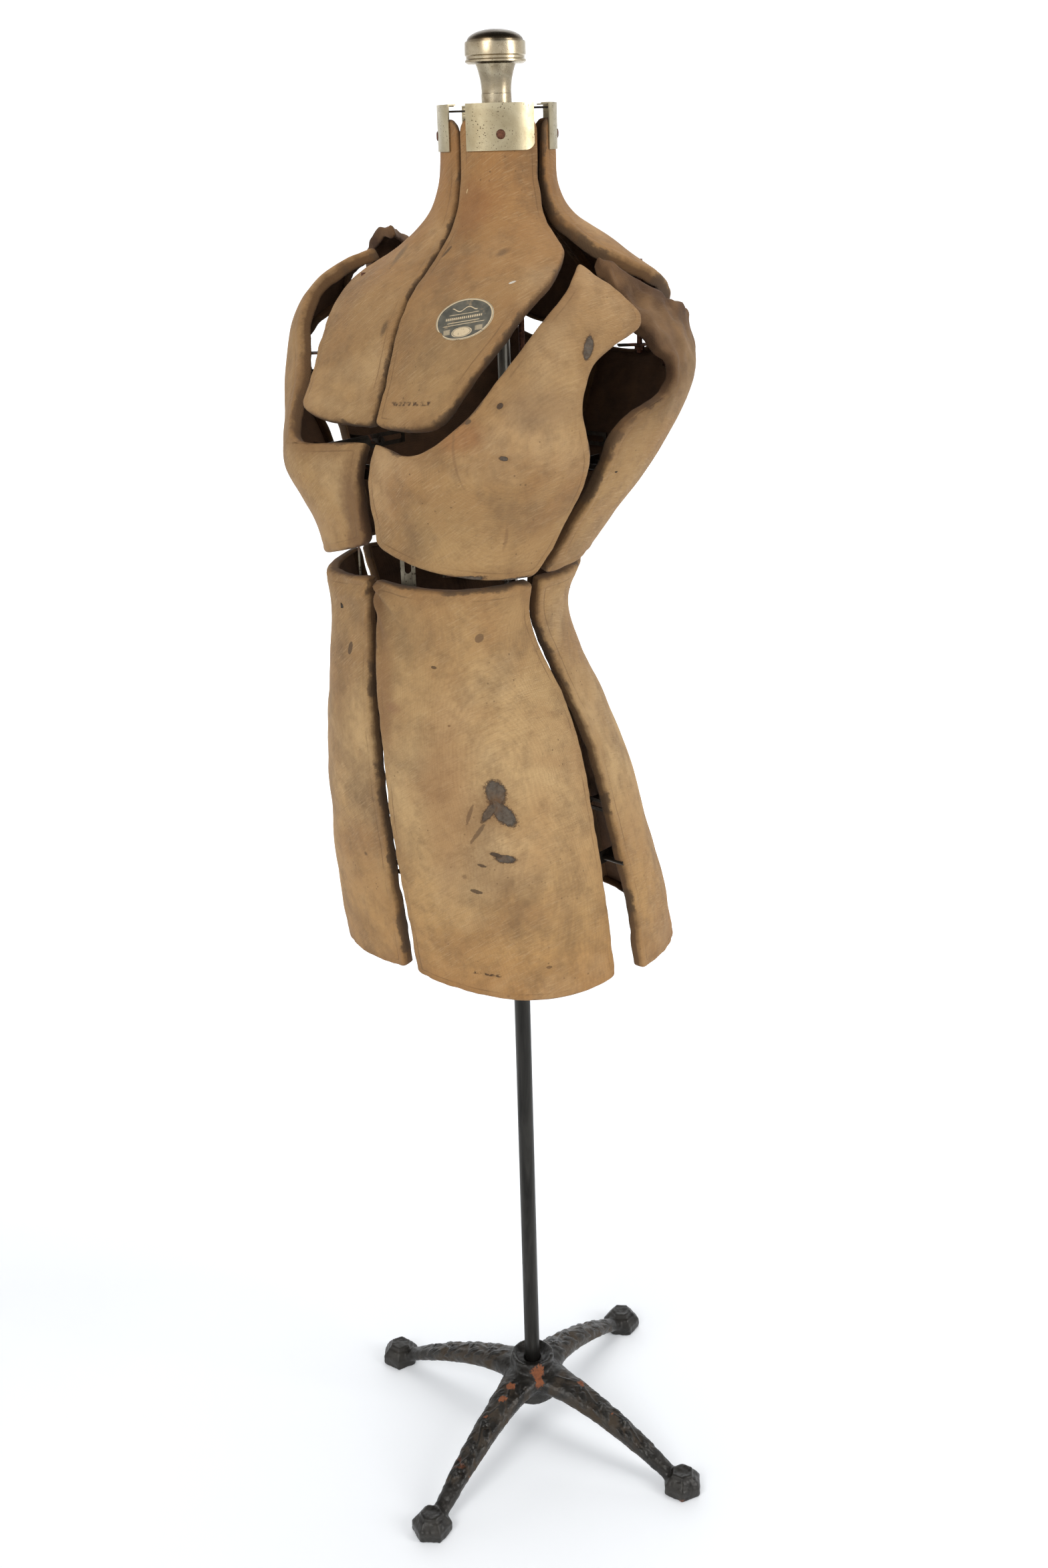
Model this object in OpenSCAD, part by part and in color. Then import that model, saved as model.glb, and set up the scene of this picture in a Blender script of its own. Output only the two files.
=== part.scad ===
// Adjustable dress form on a four-footed cast stand.
// Twelve moulded panels (neck, bust and hip, four of each) hang from four slotted
// neck arms. The arms are clamped at the top of a post by a screw-down knob, and
// slotted steel strips join each panel to its neighbours.
// Frame: origin on the floor under the post, +Z up, the chest faces -Y.

/* [Overall] */
// Height of the top of the knob above the floor
overall_h = 1500; // [1490:1:1512]
// Height of the edge of the skirt above the floor at its lowest
hem_z = 650; // [640:1:660]

/* [Torso] */
// Radius of the neck
neck_r = 51; // [50:0.5:52]
// Width across the shoulders and bust
bust_w = 368; // [360:1:380]
// Width across the waist
waist_w = 216; // [210:1:224]
// Width across the hips
hip_w = 330; // [322:1:338]
// How far the bust stands out from the chest
bust_fullness = 26; // [18:1:30]

/* [Panels] */
// Thickness of a moulded panel with its jersey cover
wall = 3; // [2.5:0.5:4]
// Depth of the turned-in edge of a panel
turn_in = 12; // [9:1:13]
// Gap between the two front neck panels
neck_gap = 2.4; // [2:0.2:6]
// Gap between the left and right bust and hip panels at the middle of the front
centre_gap = 18; // [16:1:36]
// The same gap at the middle of the back
back_gap = 22; // [20:1:32]

/* [Neck fittings] */
// Height of a neck plate
plate_h = 38; // [34:1:42]
// Sweep of a neck plate round the neck, in degrees
plate_sweep = 68; // [60:1:74]
// Thickness of the sheet in plates and arms
sheet = 1.6; // [1.2:0.1:1.7]
// Width of a neck arm
arm_w = 15; // [13:1:16]

/* [Strips and studs] */
// Width of a double-bar strip
strip_w = 13; // [12:0.5:15]
// Diameter of a stud
stud_d = 5; // [4:0.5:5]
// Gap between a sliding slot and its stud, on each side
slot_gap = 0.25; // [0.2:0.05:0.4]

/* [Knob] */
// Diameter of the band round the knob
knob_d = 53; // [48:1:58]
// Diameter of the ring under the knob
ferrule_d = 26.5; // [25:0.5:29]

/* [Post and stand] */
// Outside diameter of the post tube
tube_d = 17; // [16.5:0.5:19]
// Diameter of the rising rod
rod_d = 12; // [11:0.5:12.5]
// Height of the top of the post tube
tube_top = 900; // [880:5:905]
// Height of the hub of the stand
hub_top = 99; // [94:1:104]
// Diameter of the top of the hub
hub_d = 49; // [46:1:54]
// Distance from the post to the middle of a foot
foot_r = 199; // [196:1:206]
// Size of a six-sided foot across its corners
foot_d = 45; // [42:1:48]
// Height of a foot
foot_h = 25; // [23:1:30]
// How far the stand is screwed round from square, in degrees
stand_turn = 7; // [0:1:12]

/* [Hidden] */
$fn = 48;
FIT = 0.05;
NECK_TOP = overall_h - 72;
PLATE_TOP = overall_h - 60;
ARM_Z = overall_h - 69.7;
SHOULDER_W = bust_w / 2;
WAIST_W = waist_w / 2;
HIP_W = hip_w / 2;

// Sections of the torso: height, half width, depth to the front, depth to the
// back, shift of the middle to the back, and squareness of the outline.
SECTIONS = [
    [600, HIP_W * 1.01, 147, 155, -12, 2.4],
    [690, HIP_W * 0.98, 145, 150, -24, 2.4],
    [750, HIP_W * 0.95, 142, 146, -36, 2.4],
    [840, HIP_W * 0.87, 134, 140, -54, 2.3],
    [900, HIP_W * 0.79, 122, 134, -70, 2.3],
    [960, WAIST_W * 1.06, 112, 122, -82, 2.2],
    [1010, WAIST_W, 106, 110, -84, 2.2],
    [1045, WAIST_W * 1.06, 112, 118, -78, 2.2],
    [1090, WAIST_W * 1.24, 122, 130, -64, 2.3],
    [1140, SHOULDER_W * 0.89, 138, 140, -48, 2.5],
    [1185, SHOULDER_W * 0.98, 138, 144, -30, 2.7],
    [1225, SHOULDER_W, 134, 148, -18, 2.8],
    [1260, SHOULDER_W * 0.97, 126, 148, -12, 2.8],
    [1290, SHOULDER_W * 0.86, 110, 140, -8, 2.6],
    [1320, SHOULDER_W * 0.61, 80, 110, -5, 2.2],
    [1345, neck_r + 17, neck_r + 11, neck_r + 25, -2, 2],
    [1370, neck_r + 3, neck_r + 3, neck_r + 3, 0, 2],
    [1400, neck_r, neck_r, neck_r, 0, 2],
    [1450, neck_r, neck_r, neck_r, 0, 2],
];

// Ribs of a panel from its bottom to its top. A rib runs from the panel's centre
// edge to its side edge: angle and height at the centre edge, angle and height at
// the side edge, and how far the middle of the rib sags.
// Angles are measured round the torso from the middle of the front or back, and a
// centre-edge angle of 0 follows the straight gap between left and right panels.
NECK_FRONT = [
    [0, 1185, 26, 1197, -3],
    [0, 1205, 28, 1221, 0],
    [0, 1230, 33, 1251, 0],
    [0, 1258, 42, 1286, 0],
    [0, 1285, 57, 1309, 0],
    [0, 1315, 71, 1325, 0],
    [0, 1345, 82, 1349, 0],
    [0, 1376, 85, 1378, 0],
    [0, NECK_TOP, 85, NECK_TOP, 0],
];
NECK_BACK = [
    [0, 1235, 25, 1246, -3],
    [0, 1254, 31, 1266, 0],
    [0, 1276, 42, 1290, 0],
    [0, 1298, 60, 1309, 0],
    [0, 1320, 75, 1328, 0],
    [0, 1347, 82, 1350, 0],
    [0, 1376, 85, 1378, 0],
    [0, NECK_TOP, 85, NECK_TOP, 0],
];
BUST_FRONT = [
    [0, 1084, 79, 1055, -8],
    [0, 1112, 82, 1085, -6],
    [0, 1142, 81, 1112, -4],
    [0, 1170, 78, 1138, 0],
    [19, 1169, 73, 1160, 0],
    [27, 1178, 66, 1182, 0],
    [32, 1199, 61, 1206, 0],
    [36, 1230, 62, 1235, 0],
    [42, 1260, 70, 1250, 0],
    [49, 1281, 78, 1257, 0],
    [60, 1301, 84, 1263, 0],
    [71, 1314, 86, 1274, 0],
];
BUST_BACK = [
    [0, 1084, 96, 1055, -8],
    [0, 1120, 92, 1086, -6],
    [0, 1160, 92, 1118, -4],
    [0, 1196, 95, 1150, 0],
    [0, 1220, 98, 1172, 0],
    [20, 1221, 95, 1186, 0],
    [30, 1234, 87, 1198, 0],
    [35, 1250, 79, 1212, 0],
    [44, 1270, 76, 1236, 0],
    [58, 1288, 78, 1254, 0],
    [75, 1302, 82, 1268, 0],
    [94, 1317, 86, 1279, 0],
];
HIP_FRONT = [
    [0, hem_z + 13, 80, hem_z + 8, -8],
    [0, 700, 81, 696, -4],
    [0, 745, 83, 742, 0],
    [0, 792, 86, 790, 0],
    [0, 840, 90, 840, 0],
    [0, 890, 95, 890, 0],
    [0, 935, 97, 940, 0],
    [0, 978, 92, 980, 0],
    [0, 1020, 84, 1017, 0],
    [0, 1056, 79, 1050, -5],
];
HIP_BACK = [
    [0, hem_z + 10, 85, hem_z, -6],
    [0, 696, 84, 692, -3],
    [0, 742, 83, 740, 0],
    [0, 790, 82, 790, 0],
    [0, 840, 80, 840, 0],
    [0, 888, 77, 888, 0],
    [0, 932, 77, 932, 0],
    [0, 976, 80, 976, 0],
    [0, 1018, 89, 1014, 0],
    [0, 1056, 95, 1050, -5],
];

QUARTERS = ["front_left", "front_right", "back_left", "back_right"];
PIECES = [
    "neck_panel", "neck_plate", "neck_rivets", "neck_arm",
    "bust_panel", "bust_strips", "bust_studs",
    "waist_strip",
    "hip_panel", "hip_strip", "hip_studs",
];
STAND = [
    "base_casting", "post_tube", "post_lock_nut", "tube_collar", "thumb_screw",
    "riser_rod", "head_hub", "clamp_washer", "neck_knob", "knob_ferrule",
];

TAN = "BurlyWood";
NICKEL = "Silver";
STEEL = "DimGray";
IRON = [0.12, 0.12, 0.12];

// ---- The torso surface ----

// Index of the section below height z.
function below(z, i = 0) =
    i >= len(SECTIONS) - 2 || z < SECTIONS[i + 1][0] ? i : below(z, i + 1);

// Slope of column k at section i, from its two neighbours.
function slope(i, k) =
    let (a = max(i - 1, 0), b = min(i + 1, len(SECTIONS) - 1))
    (SECTIONS[b][k] - SECTIONS[a][k]) / (SECTIONS[b][0] - SECTIONS[a][0]);

// Value of column k at height z, on a smooth curve through the sections.
function column(z, k) =
    let (
        i = below(z),
        z0 = SECTIONS[i][0],
        h = SECTIONS[i + 1][0] - z0,
        t = (z - z0) / h,
        t2 = t * t,
        t3 = t2 * t
    )
    (2 * t3 - 3 * t2 + 1) * SECTIONS[i][k] + (t3 - 2 * t2 + t) * h * slope(i, k)
    + (3 * t2 - 2 * t3) * SECTIONS[i + 1][k] + (t3 - t2) * h * slope(i + 1, k);

// Extra depth of the bust at a point of the front.
function bust(x, z, facing) =
    bust_fullness * exp(-pow((abs(x) - 78) / 52, 2) - pow((z - 1168) / 52, 2))
    * max(0, min(1, 1.6 * facing));

// Point of the torso at an angle from the middle of the front (back = false) or
// of the back (back = true), at height z, on the form's left side.
function torso(angle, z, back) =
    let (
        w = column(z, 1),
        f = column(z, 2),
        b = column(z, 3),
        n = column(z, 5),
        s = sin(angle),
        c = cos(angle),
        r = pow(pow(abs(s), n) + pow(abs(c), n), -1 / n),
        ahead = back ? -c : c,
        depth = ahead > 0 ? f : b,
        x = w * s * r
    )
    [x, column(z, 4) - depth * ahead * r - bust(x, z, ahead), z];

function unit(v) = v / norm(v);

// Outward direction of the torso surface.
function outward(angle, z, back) =
    let (
        across = torso(angle + 1, z, back) - torso(angle - 1, z, back),
        up = torso(angle, z + 2, back) - torso(angle, z - 2, back),
        n = unit(cross(across, up))
    )
    back ? -n : n;

// Depth of the front or back surface at a place x off the middle plane.
function surface_y(x, z, back) =
    let (
        n = column(z, 5),
        k = pow(1 - pow(abs(x) / column(z, 1), n), 1 / n)
    )
    back ? column(z, 4) + column(z, 3) * k
         : column(z, 4) - column(z, 2) * k - bust(x, z, 1);

// Distance of the side surface from the middle plane at depth y.
function surface_x(y, z) =
    let (
        n = column(z, 5),
        d = y - column(z, 4),
        depth = d < 0 ? column(z, 2) : column(z, 3)
    )
    column(z, 1) * pow(1 - pow(abs(d) / depth, n), 1 / n);

// Whether a point is inside the torso.
function inside(x, y, z) =
    let (
        n = column(z, 5),
        d = y - column(z, 4),
        depth = d < 0 ? column(z, 2) : column(z, 3)
    )
    pow(abs(x) / column(z, 1), n) + pow(abs(d) / depth, n) < 1;

// Height of the shoulder surface over a point, found by halving.
function surface_z(x, y, low = 1180, high = 1360, steps = 14) =
    let (mid = (low + high) / 2)
    steps == 0 ? mid
    : inside(x, y, mid) ? surface_z(x, y, mid, high, steps - 1)
    : surface_z(x, y, low, mid, steps - 1);

// ---- Panels ----

function mix(a, b, t) = a * (1 - t) + b * t;

// Smooth curve through four values.
function through(a, b, c, d, t) =
    b + 0.5 * t * (c - a + t * (2 * a - 5 * b + 4 * c - d + t * (3 * (b - c) + d - a)));

// Rib at a place t from 0 at the bottom to 1 at the top.
function rib(ribs, t) =
    let (
        last = len(ribs) - 1,
        i = min(floor(t * last), last - 1),
        u = t * last - i
    )
    through(ribs[max(i - 1, 0)], ribs[i], ribs[i + 1], ribs[min(i + 2, last)], u);

// Angle of the straight centre edge, half a gap off the middle plane.
function edge_angle(z, gap) = atan(gap / 2 / column(z, 1));

// Angle and height of a panel's point, s across and t up.
function place(ribs, gap, s, t) =
    let (
        r = rib(ribs, t),
        start = max(r[0], edge_angle(r[1], gap))
    )
    [mix(start, r[2], s), mix(r[1], r[3], s) + 4 * s * (1 - s) * r[4]];

// A tray-shaped panel: the outer skin, its edges turned in by depth, and the
// inner skin one wall further in.
module panel(ribs, gap, back, cols, deep_top) {
    rows = 2 * (len(ribs) - 1);
    function spot(s, t) = place(ribs, gap, s, t);
    function skin(s, t, sink) =
        let (p = spot(s, t))
        torso(p[0], p[1], back) - sink * outward(p[0], p[1], back);
    function across(t) = norm(skin(0, t, 0) - skin(1, t, 0));
    function tall(s) = norm(skin(s, 0, 0) - skin(s, 0.5, 0)) + norm(skin(s, 0.5, 0) - skin(s, 1, 0));
    function in_s(s, t) = max(wall / across(t), min(1 - wall / across(t), s));
    function in_t(s, t) = max(wall / tall(s), min(1 - wall / tall(s), t));
    function lip(t) = deep_top ? turn_in : mix(wall, turn_in, min(1, 5 * (1 - t)));
    grid = [for (j = [0:rows]) for (i = [0:cols]) [i / cols, j / rows]];
    outer = [for (g = grid) skin(g[0], g[1], 0)];
    inner = [for (g = grid) skin(in_s(g[0], g[1]), in_t(g[0], g[1]), wall)];
    row = cols + 1;
    ring = concat(
        [for (i = [0:cols]) i],
        [for (j = [1:rows]) j * row + cols],
        [for (i = [1:cols]) rows * row + cols - i],
        [for (j = [1:rows - 1]) (rows - j) * row]
    );
    count = len(outer);
    around = len(ring);
    lip_outer = [for (k = ring) let (g = grid[k]) skin(g[0], g[1], lip(g[1]))];
    lip_inner = [
        for (k = ring) let (g = grid[k])
            skin(in_s(g[0], g[1]), in_t(g[0], g[1]), lip(g[1]) + 0.01)
    ];
    // Rings of point numbers: outer edge, lip outside, lip inside, inner edge.
    ring_a = ring;
    ring_b = [for (k = [0:around - 1]) 2 * count + k];
    ring_c = [for (k = [0:around - 1]) 2 * count + around + k];
    ring_d = [for (k = ring) count + k];
    function quads(a, b) = [
        for (k = [0:around - 1]) let (m = (k + 1) % around)
            each [[a[k], a[m], b[k]], [a[m], b[m], b[k]]]
    ];
    skins = [
        for (j = [0:rows - 1]) for (i = [0:cols - 1])
            let (p = j * row + i, q = p + 1, r = p + row, s = r + 1)
            each [
                [p, r, q], [q, r, s],
                [count + p, count + q, count + r], [count + q, count + s, count + r]
            ]
    ];
    faces = concat(skins, quads(ring_a, ring_b), quads(ring_b, ring_c), quads(ring_c, ring_d));
    points = concat(outer, inner, lip_outer, lip_inner);
    turned = [for (f = faces) [f[0], f[2], f[1]]];
    polyhedron(points, back ? turned : faces);
}

// ---- Quarters ----

function is_back(q) = q == "back_left" || q == "back_right";
function is_right(q) = q == "front_right" || q == "back_right";
// The front left and back right quarters carry the strips across the centre; the
// other two carry the strips across the sides.
function carries_centre(q) = q == "front_left" || q == "back_right";
// How far round the quarter's own way out lies, seen on the left side.
function way(q) = is_back(q) ? 45 : -45;

module on_side(q) {
    mirror([is_right(q) ? 1 : 0, 0, 0]) children();
}

// A stud with its nut: it starts inside the panel wall and runs along -X, with
// the nut's near face at a distance nut_at from the start.
module stud(long, nut_at) {
    rotate([0, -90, 0]) {
        cylinder(d = stud_d, h = long);
        translate([0, 0, nut_at]) cylinder(d = stud_d * 1.85, h = stud_d * 0.7, $fn = 6);
    }
}

// A flat strip along X from x0 to x1, lying in the XY plane, with a slot from s0
// to s1 and fixed holes.
module strip(x0, x1, w, s0, s1, slot, holes) {
    difference() {
        translate([x0, -w / 2, 0]) cube([x1 - x0, w, sheet]);
        translate([s0, -slot / 2, -1]) cube([s1 - s0, slot, sheet + 2]);
        for (x = [s0, s1]) translate([x, 0, -1]) cylinder(d = slot, h = sheet + 2);
        for (x = holes) translate([x, 0, -1]) cylinder(d = stud_d + 0.2, h = sheet + 2);
    }
}

SLOT = stud_d + 2 * slot_gap;

// Girth strips of the bust and the hips. Each is fixed to its own panel at 28 and
// 46 from the gap's middle, and its slot runs over a stud of the next panel.
BUST_STRIP_Z = 1144;
HIP_STRIP_Z = 765;
SIDE_GAP_Y = [-70, -47];
// How far a strip's stud may travel outwards and inwards in its slot.
BUST_TRAVEL = [30, 7];
HIP_TRAVEL = [42, 11];
FIXED = [28, 46];
RIDER = 24;

function middle_gap(back) = back ? back_gap : centre_gap;

// Depth of the plane of a centre strip.
function centre_plane(z, back) =
    let (s = back ? 1 : -1)
    s * min(
        s * surface_y(84, z, back) - wall - 4,
        s * surface_y(middle_gap(back) / 2, z, back) - turn_in - 7
    );

// Distance of the plane of a side strip from the middle plane.
function side_plane(z, y) =
    min(surface_x(y - 76, z), surface_x(y + 76, z)) - wall - 4;

module girth_strip(q, z, y, travel) {
    back = is_back(q);
    if (carries_centre(q)) {
        translate([0, centre_plane(z, back), z])
            rotate([90, 0, 0])
                translate([0, 0, -sheet / 2])
                    strip(-RIDER - travel[0] - 6, FIXED[1] + 6, strip_w,
                          -RIDER - travel[0], -RIDER + travel[1], SLOT, FIXED);
    } else {
        turn = back ? 90 : -90;
        translate([side_plane(z, y), y, z])
            rotate([0, 0, turn]) rotate([90, 0, 0])
                translate([0, 0, -sheet / 2])
                    strip(-RIDER - travel[0] - 6, FIXED[1] + 6, strip_w,
                          -RIDER - travel[0], -RIDER + travel[1], SLOT, FIXED);
    }
}

// Studs that hold the quarter's own girth strip, and the one that its
// neighbour's strip rides on.
module girth_studs(q, z, y) {
    back = is_back(q);
    s = back ? 1 : -1;
    xs = carries_centre(q) ? FIXED : [RIDER];
    ys = carries_centre(q) ? [RIDER] : FIXED;
    for (x = xs) {
        top = surface_y(x, z, back) - s * (wall - 1);
        depth = s * (top - centre_plane(z, back)) + sheet / 2 + (carries_centre(q) ? 0 : 0.3);
        translate([x, top, z]) rotate([0, 0, s * 90]) stud(depth + 6, depth);
    }
    for (d = ys) {
        yy = y + s * d;
        top = surface_x(yy, z) - wall + 1;
        depth = top - side_plane(z, y) + sheet / 2 + (carries_centre(q) ? 0.3 : 0);
        translate([top, yy, z]) stud(depth + 6, depth);
    }
}

// ---- Neck ----

// Level of each quarter's arm in the stack on the central stud.
function arm_level(q) =
    ARM_Z + (sheet + 0.15) * search([q], ["front_left", "back_right", "front_right", "back_left"])[0];
NECK_TRAVEL = 8;
ARM_FOOT = neck_r - wall - 1;

module neck_panel(q) {
    color(TAN) on_side(q)
        panel(is_back(q) ? NECK_BACK : NECK_FRONT, neck_gap, is_back(q), 12, false);
}

module neck_plate(q) {
    r = neck_r + 0.3;
    t = 1.2;
    color(NICKEL) on_side(q) rotate([0, 0, way(q)])
        difference() {
            intersection() {
                rotate([0, 0, -plate_sweep / 2]) rotate_extrude(angle = plate_sweep, $fn = 96)
                    union() {
                        translate([r, PLATE_TOP - plate_h]) square([t, plate_h]);
                        translate([r - 7, PLATE_TOP - t]) square([7 + t, t]);
                    }
                rotate([90, 0, 90]) linear_extrude(r + 5) plate_outline();
            }
            translate([r - 3, 0, PLATE_TOP - plate_h * 0.66])
                rotate([0, 90, 0]) cylinder(d = 4.2, h = 8);
        }
}

// Outline of a neck plate seen from outside, with rounded lower corners.
module plate_outline() {
    half = (neck_r + 3) * sin(plate_sweep / 2);
    corner = 9;
    low = PLATE_TOP - plate_h;
    translate([-half, low + corner]) square([2 * half, plate_h]);
    translate([-half + corner, low]) square([2 * (half - corner), plate_h]);
    for (s = [-1, 1]) translate([s * (half - corner), low + corner]) circle(r = corner);
}

// The rivet through plate, panel and arm, and the stud that the shoulder strip
// rides on.
module neck_rivets(q) {
    z = PLATE_TOP - plate_h * 0.66;
    out = neck_r + 1.5;
    color("Sienna") on_side(q) rotate([0, 0, way(q)]) {
        translate([ARM_FOOT - sheet - 2, 0, z]) rotate([0, 90, 0])
            rotate_extrude() polygon([
                [0, 0], [3, 0], [3.6, 1], [3.6, 2], [2, 2],
                [2, out - ARM_FOOT + sheet + 2], [4, out - ARM_FOOT + sheet + 2],
                [3.6, out - ARM_FOOT + sheet + 2.7], [2.4, out - ARM_FOOT + sheet + 3.1],
                [0, out - ARM_FOOT + sheet + 3.2],
            ]);
        shoulder_stud(q, 0.3);
    }
}

module neck_arm(q) {
    level = arm_level(q);
    low = PLATE_TOP - plate_h * 0.66 - 6;
    hole = 8.6;
    color(STEEL) on_side(q) rotate([0, 0, way(q)])
        difference() {
            union() {
                translate([-NECK_TRAVEL - hole, -arm_w / 2, level])
                    cube([ARM_FOOT + NECK_TRAVEL + hole, arm_w, sheet]);
                translate([ARM_FOOT - sheet, -arm_w / 2, low])
                    cube([sheet, arm_w, level - low + sheet]);
            }
            translate([-NECK_TRAVEL - 0.5, -hole / 2, level - 1])
                cube([NECK_TRAVEL + 1, hole, sheet + 2]);
            for (x = [-NECK_TRAVEL - 0.5, 0.5])
                translate([x, 0, level - 1]) cylinder(d = hole, h = sheet + 2);
            translate([ARM_FOOT - sheet - 1, 0, low + 6])
                rotate([0, 90, 0]) cylinder(d = 4.2, h = sheet + 2);
        }
}

// ---- Lines along a quarter's diagonal ----
// In a quarter's own frame X runs outwards along its diagonal and Y to one side.

// Angle round the torso at which a line along the diagonal, shifted to the side,
// meets the surface. Found by halving.
function meet(q, z, side, low = 0, high = 80, steps = 16) =
    let (
        mid = (low + high) / 2,
        p = torso(mid, z, is_back(q)),
        a = way(q),
        v = -p[0] * sin(a) + p[1] * cos(a),
        far = is_back(q) ? v < side : v > side
    )
    steps == 0 ? mid
    : far ? meet(q, z, side, low, mid, steps - 1)
    : meet(q, z, side, mid, high, steps - 1);

// Distance out of the torso surface on such a line.
function reach(q, z, side) =
    let (p = torso(meet(q, z, side), z, is_back(q)), a = way(q))
    p[0] * cos(a) + p[1] * sin(a);

// A stud from a panel's wall inwards along the diagonal, through something whose
// inner face is at a distance out of face.
module diagonal_stud(q, z, side, face) {
    top = reach(q, z, side) - (wall - 1) * 1.25;
    rotate([0, 0, way(q)])
        translate([top, side, z]) stud(top - face + 6, top - face);
}

// ---- Shoulder strips ----

// Place along the diagonal of the neck panel's stud, the shift of the strip to
// the side, its height, and the drop from the strip to its fixed stud.
NECK_STUD_OUT = 124;
SHOULDER_Z = 1232;
SHOULDER_DROP = 16;
function shoulder_side(q) = is_back(q) ? -10 : 9;
// Distance out of the down-turned foot of the strip.
function shoulder_foot(q) = reach(q, SHOULDER_Z - SHOULDER_DROP, shoulder_side(q)) - wall - 9;

// The neck panel's upright stud, down through the slot of the strip.
module shoulder_stud(q, play) {
    a = way(q);
    v = shoulder_side(q);
    x = NECK_STUD_OUT * cos(a) - v * sin(a);
    y = NECK_STUD_OUT * sin(a) + v * cos(a);
    top = surface_z(x, y) - wall - 1.2;
    translate([NECK_STUD_OUT, v, top])
        rotate([0, -90, 0]) stud(top - SHOULDER_Z + play + 6, top - SHOULDER_Z + play);
}

// The strip: a flat bar along the diagonal with a foot bent down at its outer end.
module shoulder_strip(q) {
    foot = shoulder_foot(q);
    back = NECK_STUD_OUT - foot;
    low = SHOULDER_Z - SHOULDER_DROP;
    translate([foot, shoulder_side(q), 0])
        difference() {
            union() {
                translate([0, 0, SHOULDER_Z])
                    strip(back - 20, sheet, strip_w, back - 13, back + 5, SLOT, []);
                translate([0, -strip_w / 2, low - 7]) cube([sheet, strip_w, SHOULDER_DROP + 7.5]);
            }
            translate([-1, 0, low]) rotate([0, 90, 0]) cylinder(d = stud_d + 0.2, h = sheet + 2);
        }
}

// ---- Waist strips ----

WAIST_STUD_Z = 1082;
HIP_PIN_Z = 1022;
WAIST_SLOT = [1062, 1122];
WAIST_DEEP = 22;

// Sideways place of a waist strip's line, taken from a point of the waist at a
// distance off the middle plane, and the distance out of the strip's plane.
function waist_off(q) = is_back(q) ? 80 : 46;
function waist_side(q) =
    let (x = waist_off(q), y = surface_y(x, HIP_PIN_Z, is_back(q)), a = way(q))
    -x * sin(a) + y * cos(a);
function waist_plane(q) = reach(q, HIP_PIN_Z, waist_side(q)) - WAIST_DEEP;

module waist_strip(q) {
    z0 = HIP_PIN_Z - 10;
    z1 = WAIST_SLOT[1] + 8;
    color(NICKEL) on_side(q) rotate([0, 0, way(q)])
        translate([waist_plane(q) - sheet / 2, waist_side(q), 0])
            difference() {
                translate([0, -strip_w / 2, z0]) cube([sheet, strip_w, z1 - z0]);
                translate([-1, -SLOT / 2, WAIST_SLOT[0]])
                    cube([sheet + 2, SLOT, WAIST_SLOT[1] - WAIST_SLOT[0]]);
                for (z = WAIST_SLOT)
                    translate([-1, 0, z]) rotate([0, 90, 0]) cylinder(d = SLOT, h = sheet + 2);
                translate([-1, 0, HIP_PIN_Z])
                    rotate([0, 90, 0]) cylinder(d = stud_d + 2 * FIT, h = sheet + 2);
            }
}

// A stud through the waist strip, reaching past it by a distance before its nut.
module waist_stud(q, z, past) {
    diagonal_stud(q, z, waist_side(q), waist_plane(q) - sheet / 2 - past);
}

// ---- Bust ----

module bust_panel(q) {
    back = is_back(q);
    color(TAN) on_side(q)
        panel(back ? BUST_BACK : BUST_FRONT, middle_gap(back), back, 14, true);
}

module bust_strips(q) {
    color(STEEL) on_side(q) {
        girth_strip(q, BUST_STRIP_Z, SIDE_GAP_Y[0], BUST_TRAVEL);
        rotate([0, 0, way(q)]) shoulder_strip(q);
    }
}

module bust_studs(q) {
    color(STEEL) on_side(q) {
        girth_studs(q, BUST_STRIP_Z, SIDE_GAP_Y[0]);
        diagonal_stud(q, SHOULDER_Z - SHOULDER_DROP, shoulder_side(q), shoulder_foot(q));
        waist_stud(q, WAIST_STUD_Z, 0.3);
    }
}

// ---- Hips ----

module hip_panel(q) {
    back = is_back(q);
    color(TAN) on_side(q)
        panel(back ? HIP_BACK : HIP_FRONT, middle_gap(back), back, 14, true);
}

module hip_strip(q) {
    color(STEEL) on_side(q) girth_strip(q, HIP_STRIP_Z, SIDE_GAP_Y[1], HIP_TRAVEL);
}

module hip_studs(q) {
    color(STEEL) on_side(q) {
        girth_studs(q, HIP_STRIP_Z, SIDE_GAP_Y[1]);
        waist_stud(q, HIP_PIN_Z, 9);
    }
}

// ---- Post, head and knob ----

COLLAR_Z = [tube_top - 14, tube_top + 12];
SCREW_Z = tube_top + 6;

module post_tube() {
    color("Black") difference() {
        translate([0, 0, 44]) cylinder(d = tube_d, h = tube_top - 44);
        translate([0, 0, 43]) cylinder(d = rod_d + 2 * FIT, h = tube_top);
    }
}

module post_lock_nut() {
    color(IRON) difference() {
        translate([0, 0, 38]) cylinder(d = tube_d + 14, h = 8, $fn = 6);
        translate([0, 0, 37]) cylinder(d = tube_d + 2 * FIT, h = 10);
    }
}

module tube_collar() {
    color("Black") difference() {
        translate([0, 0, COLLAR_Z[0]]) cylinder(d = tube_d + 8, h = COLLAR_Z[1] - COLLAR_Z[0]);
        translate([0, 0, COLLAR_Z[0] - 1]) cylinder(d = tube_d + 2 * FIT, h = 15);
        translate([0, 0, COLLAR_Z[0]]) cylinder(d = rod_d + 2 * FIT, h = 40);
        translate([0, 0, SCREW_Z]) rotate([0, 90, 0]) cylinder(d = 6 + 2 * FIT, h = 30);
    }
}

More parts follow.
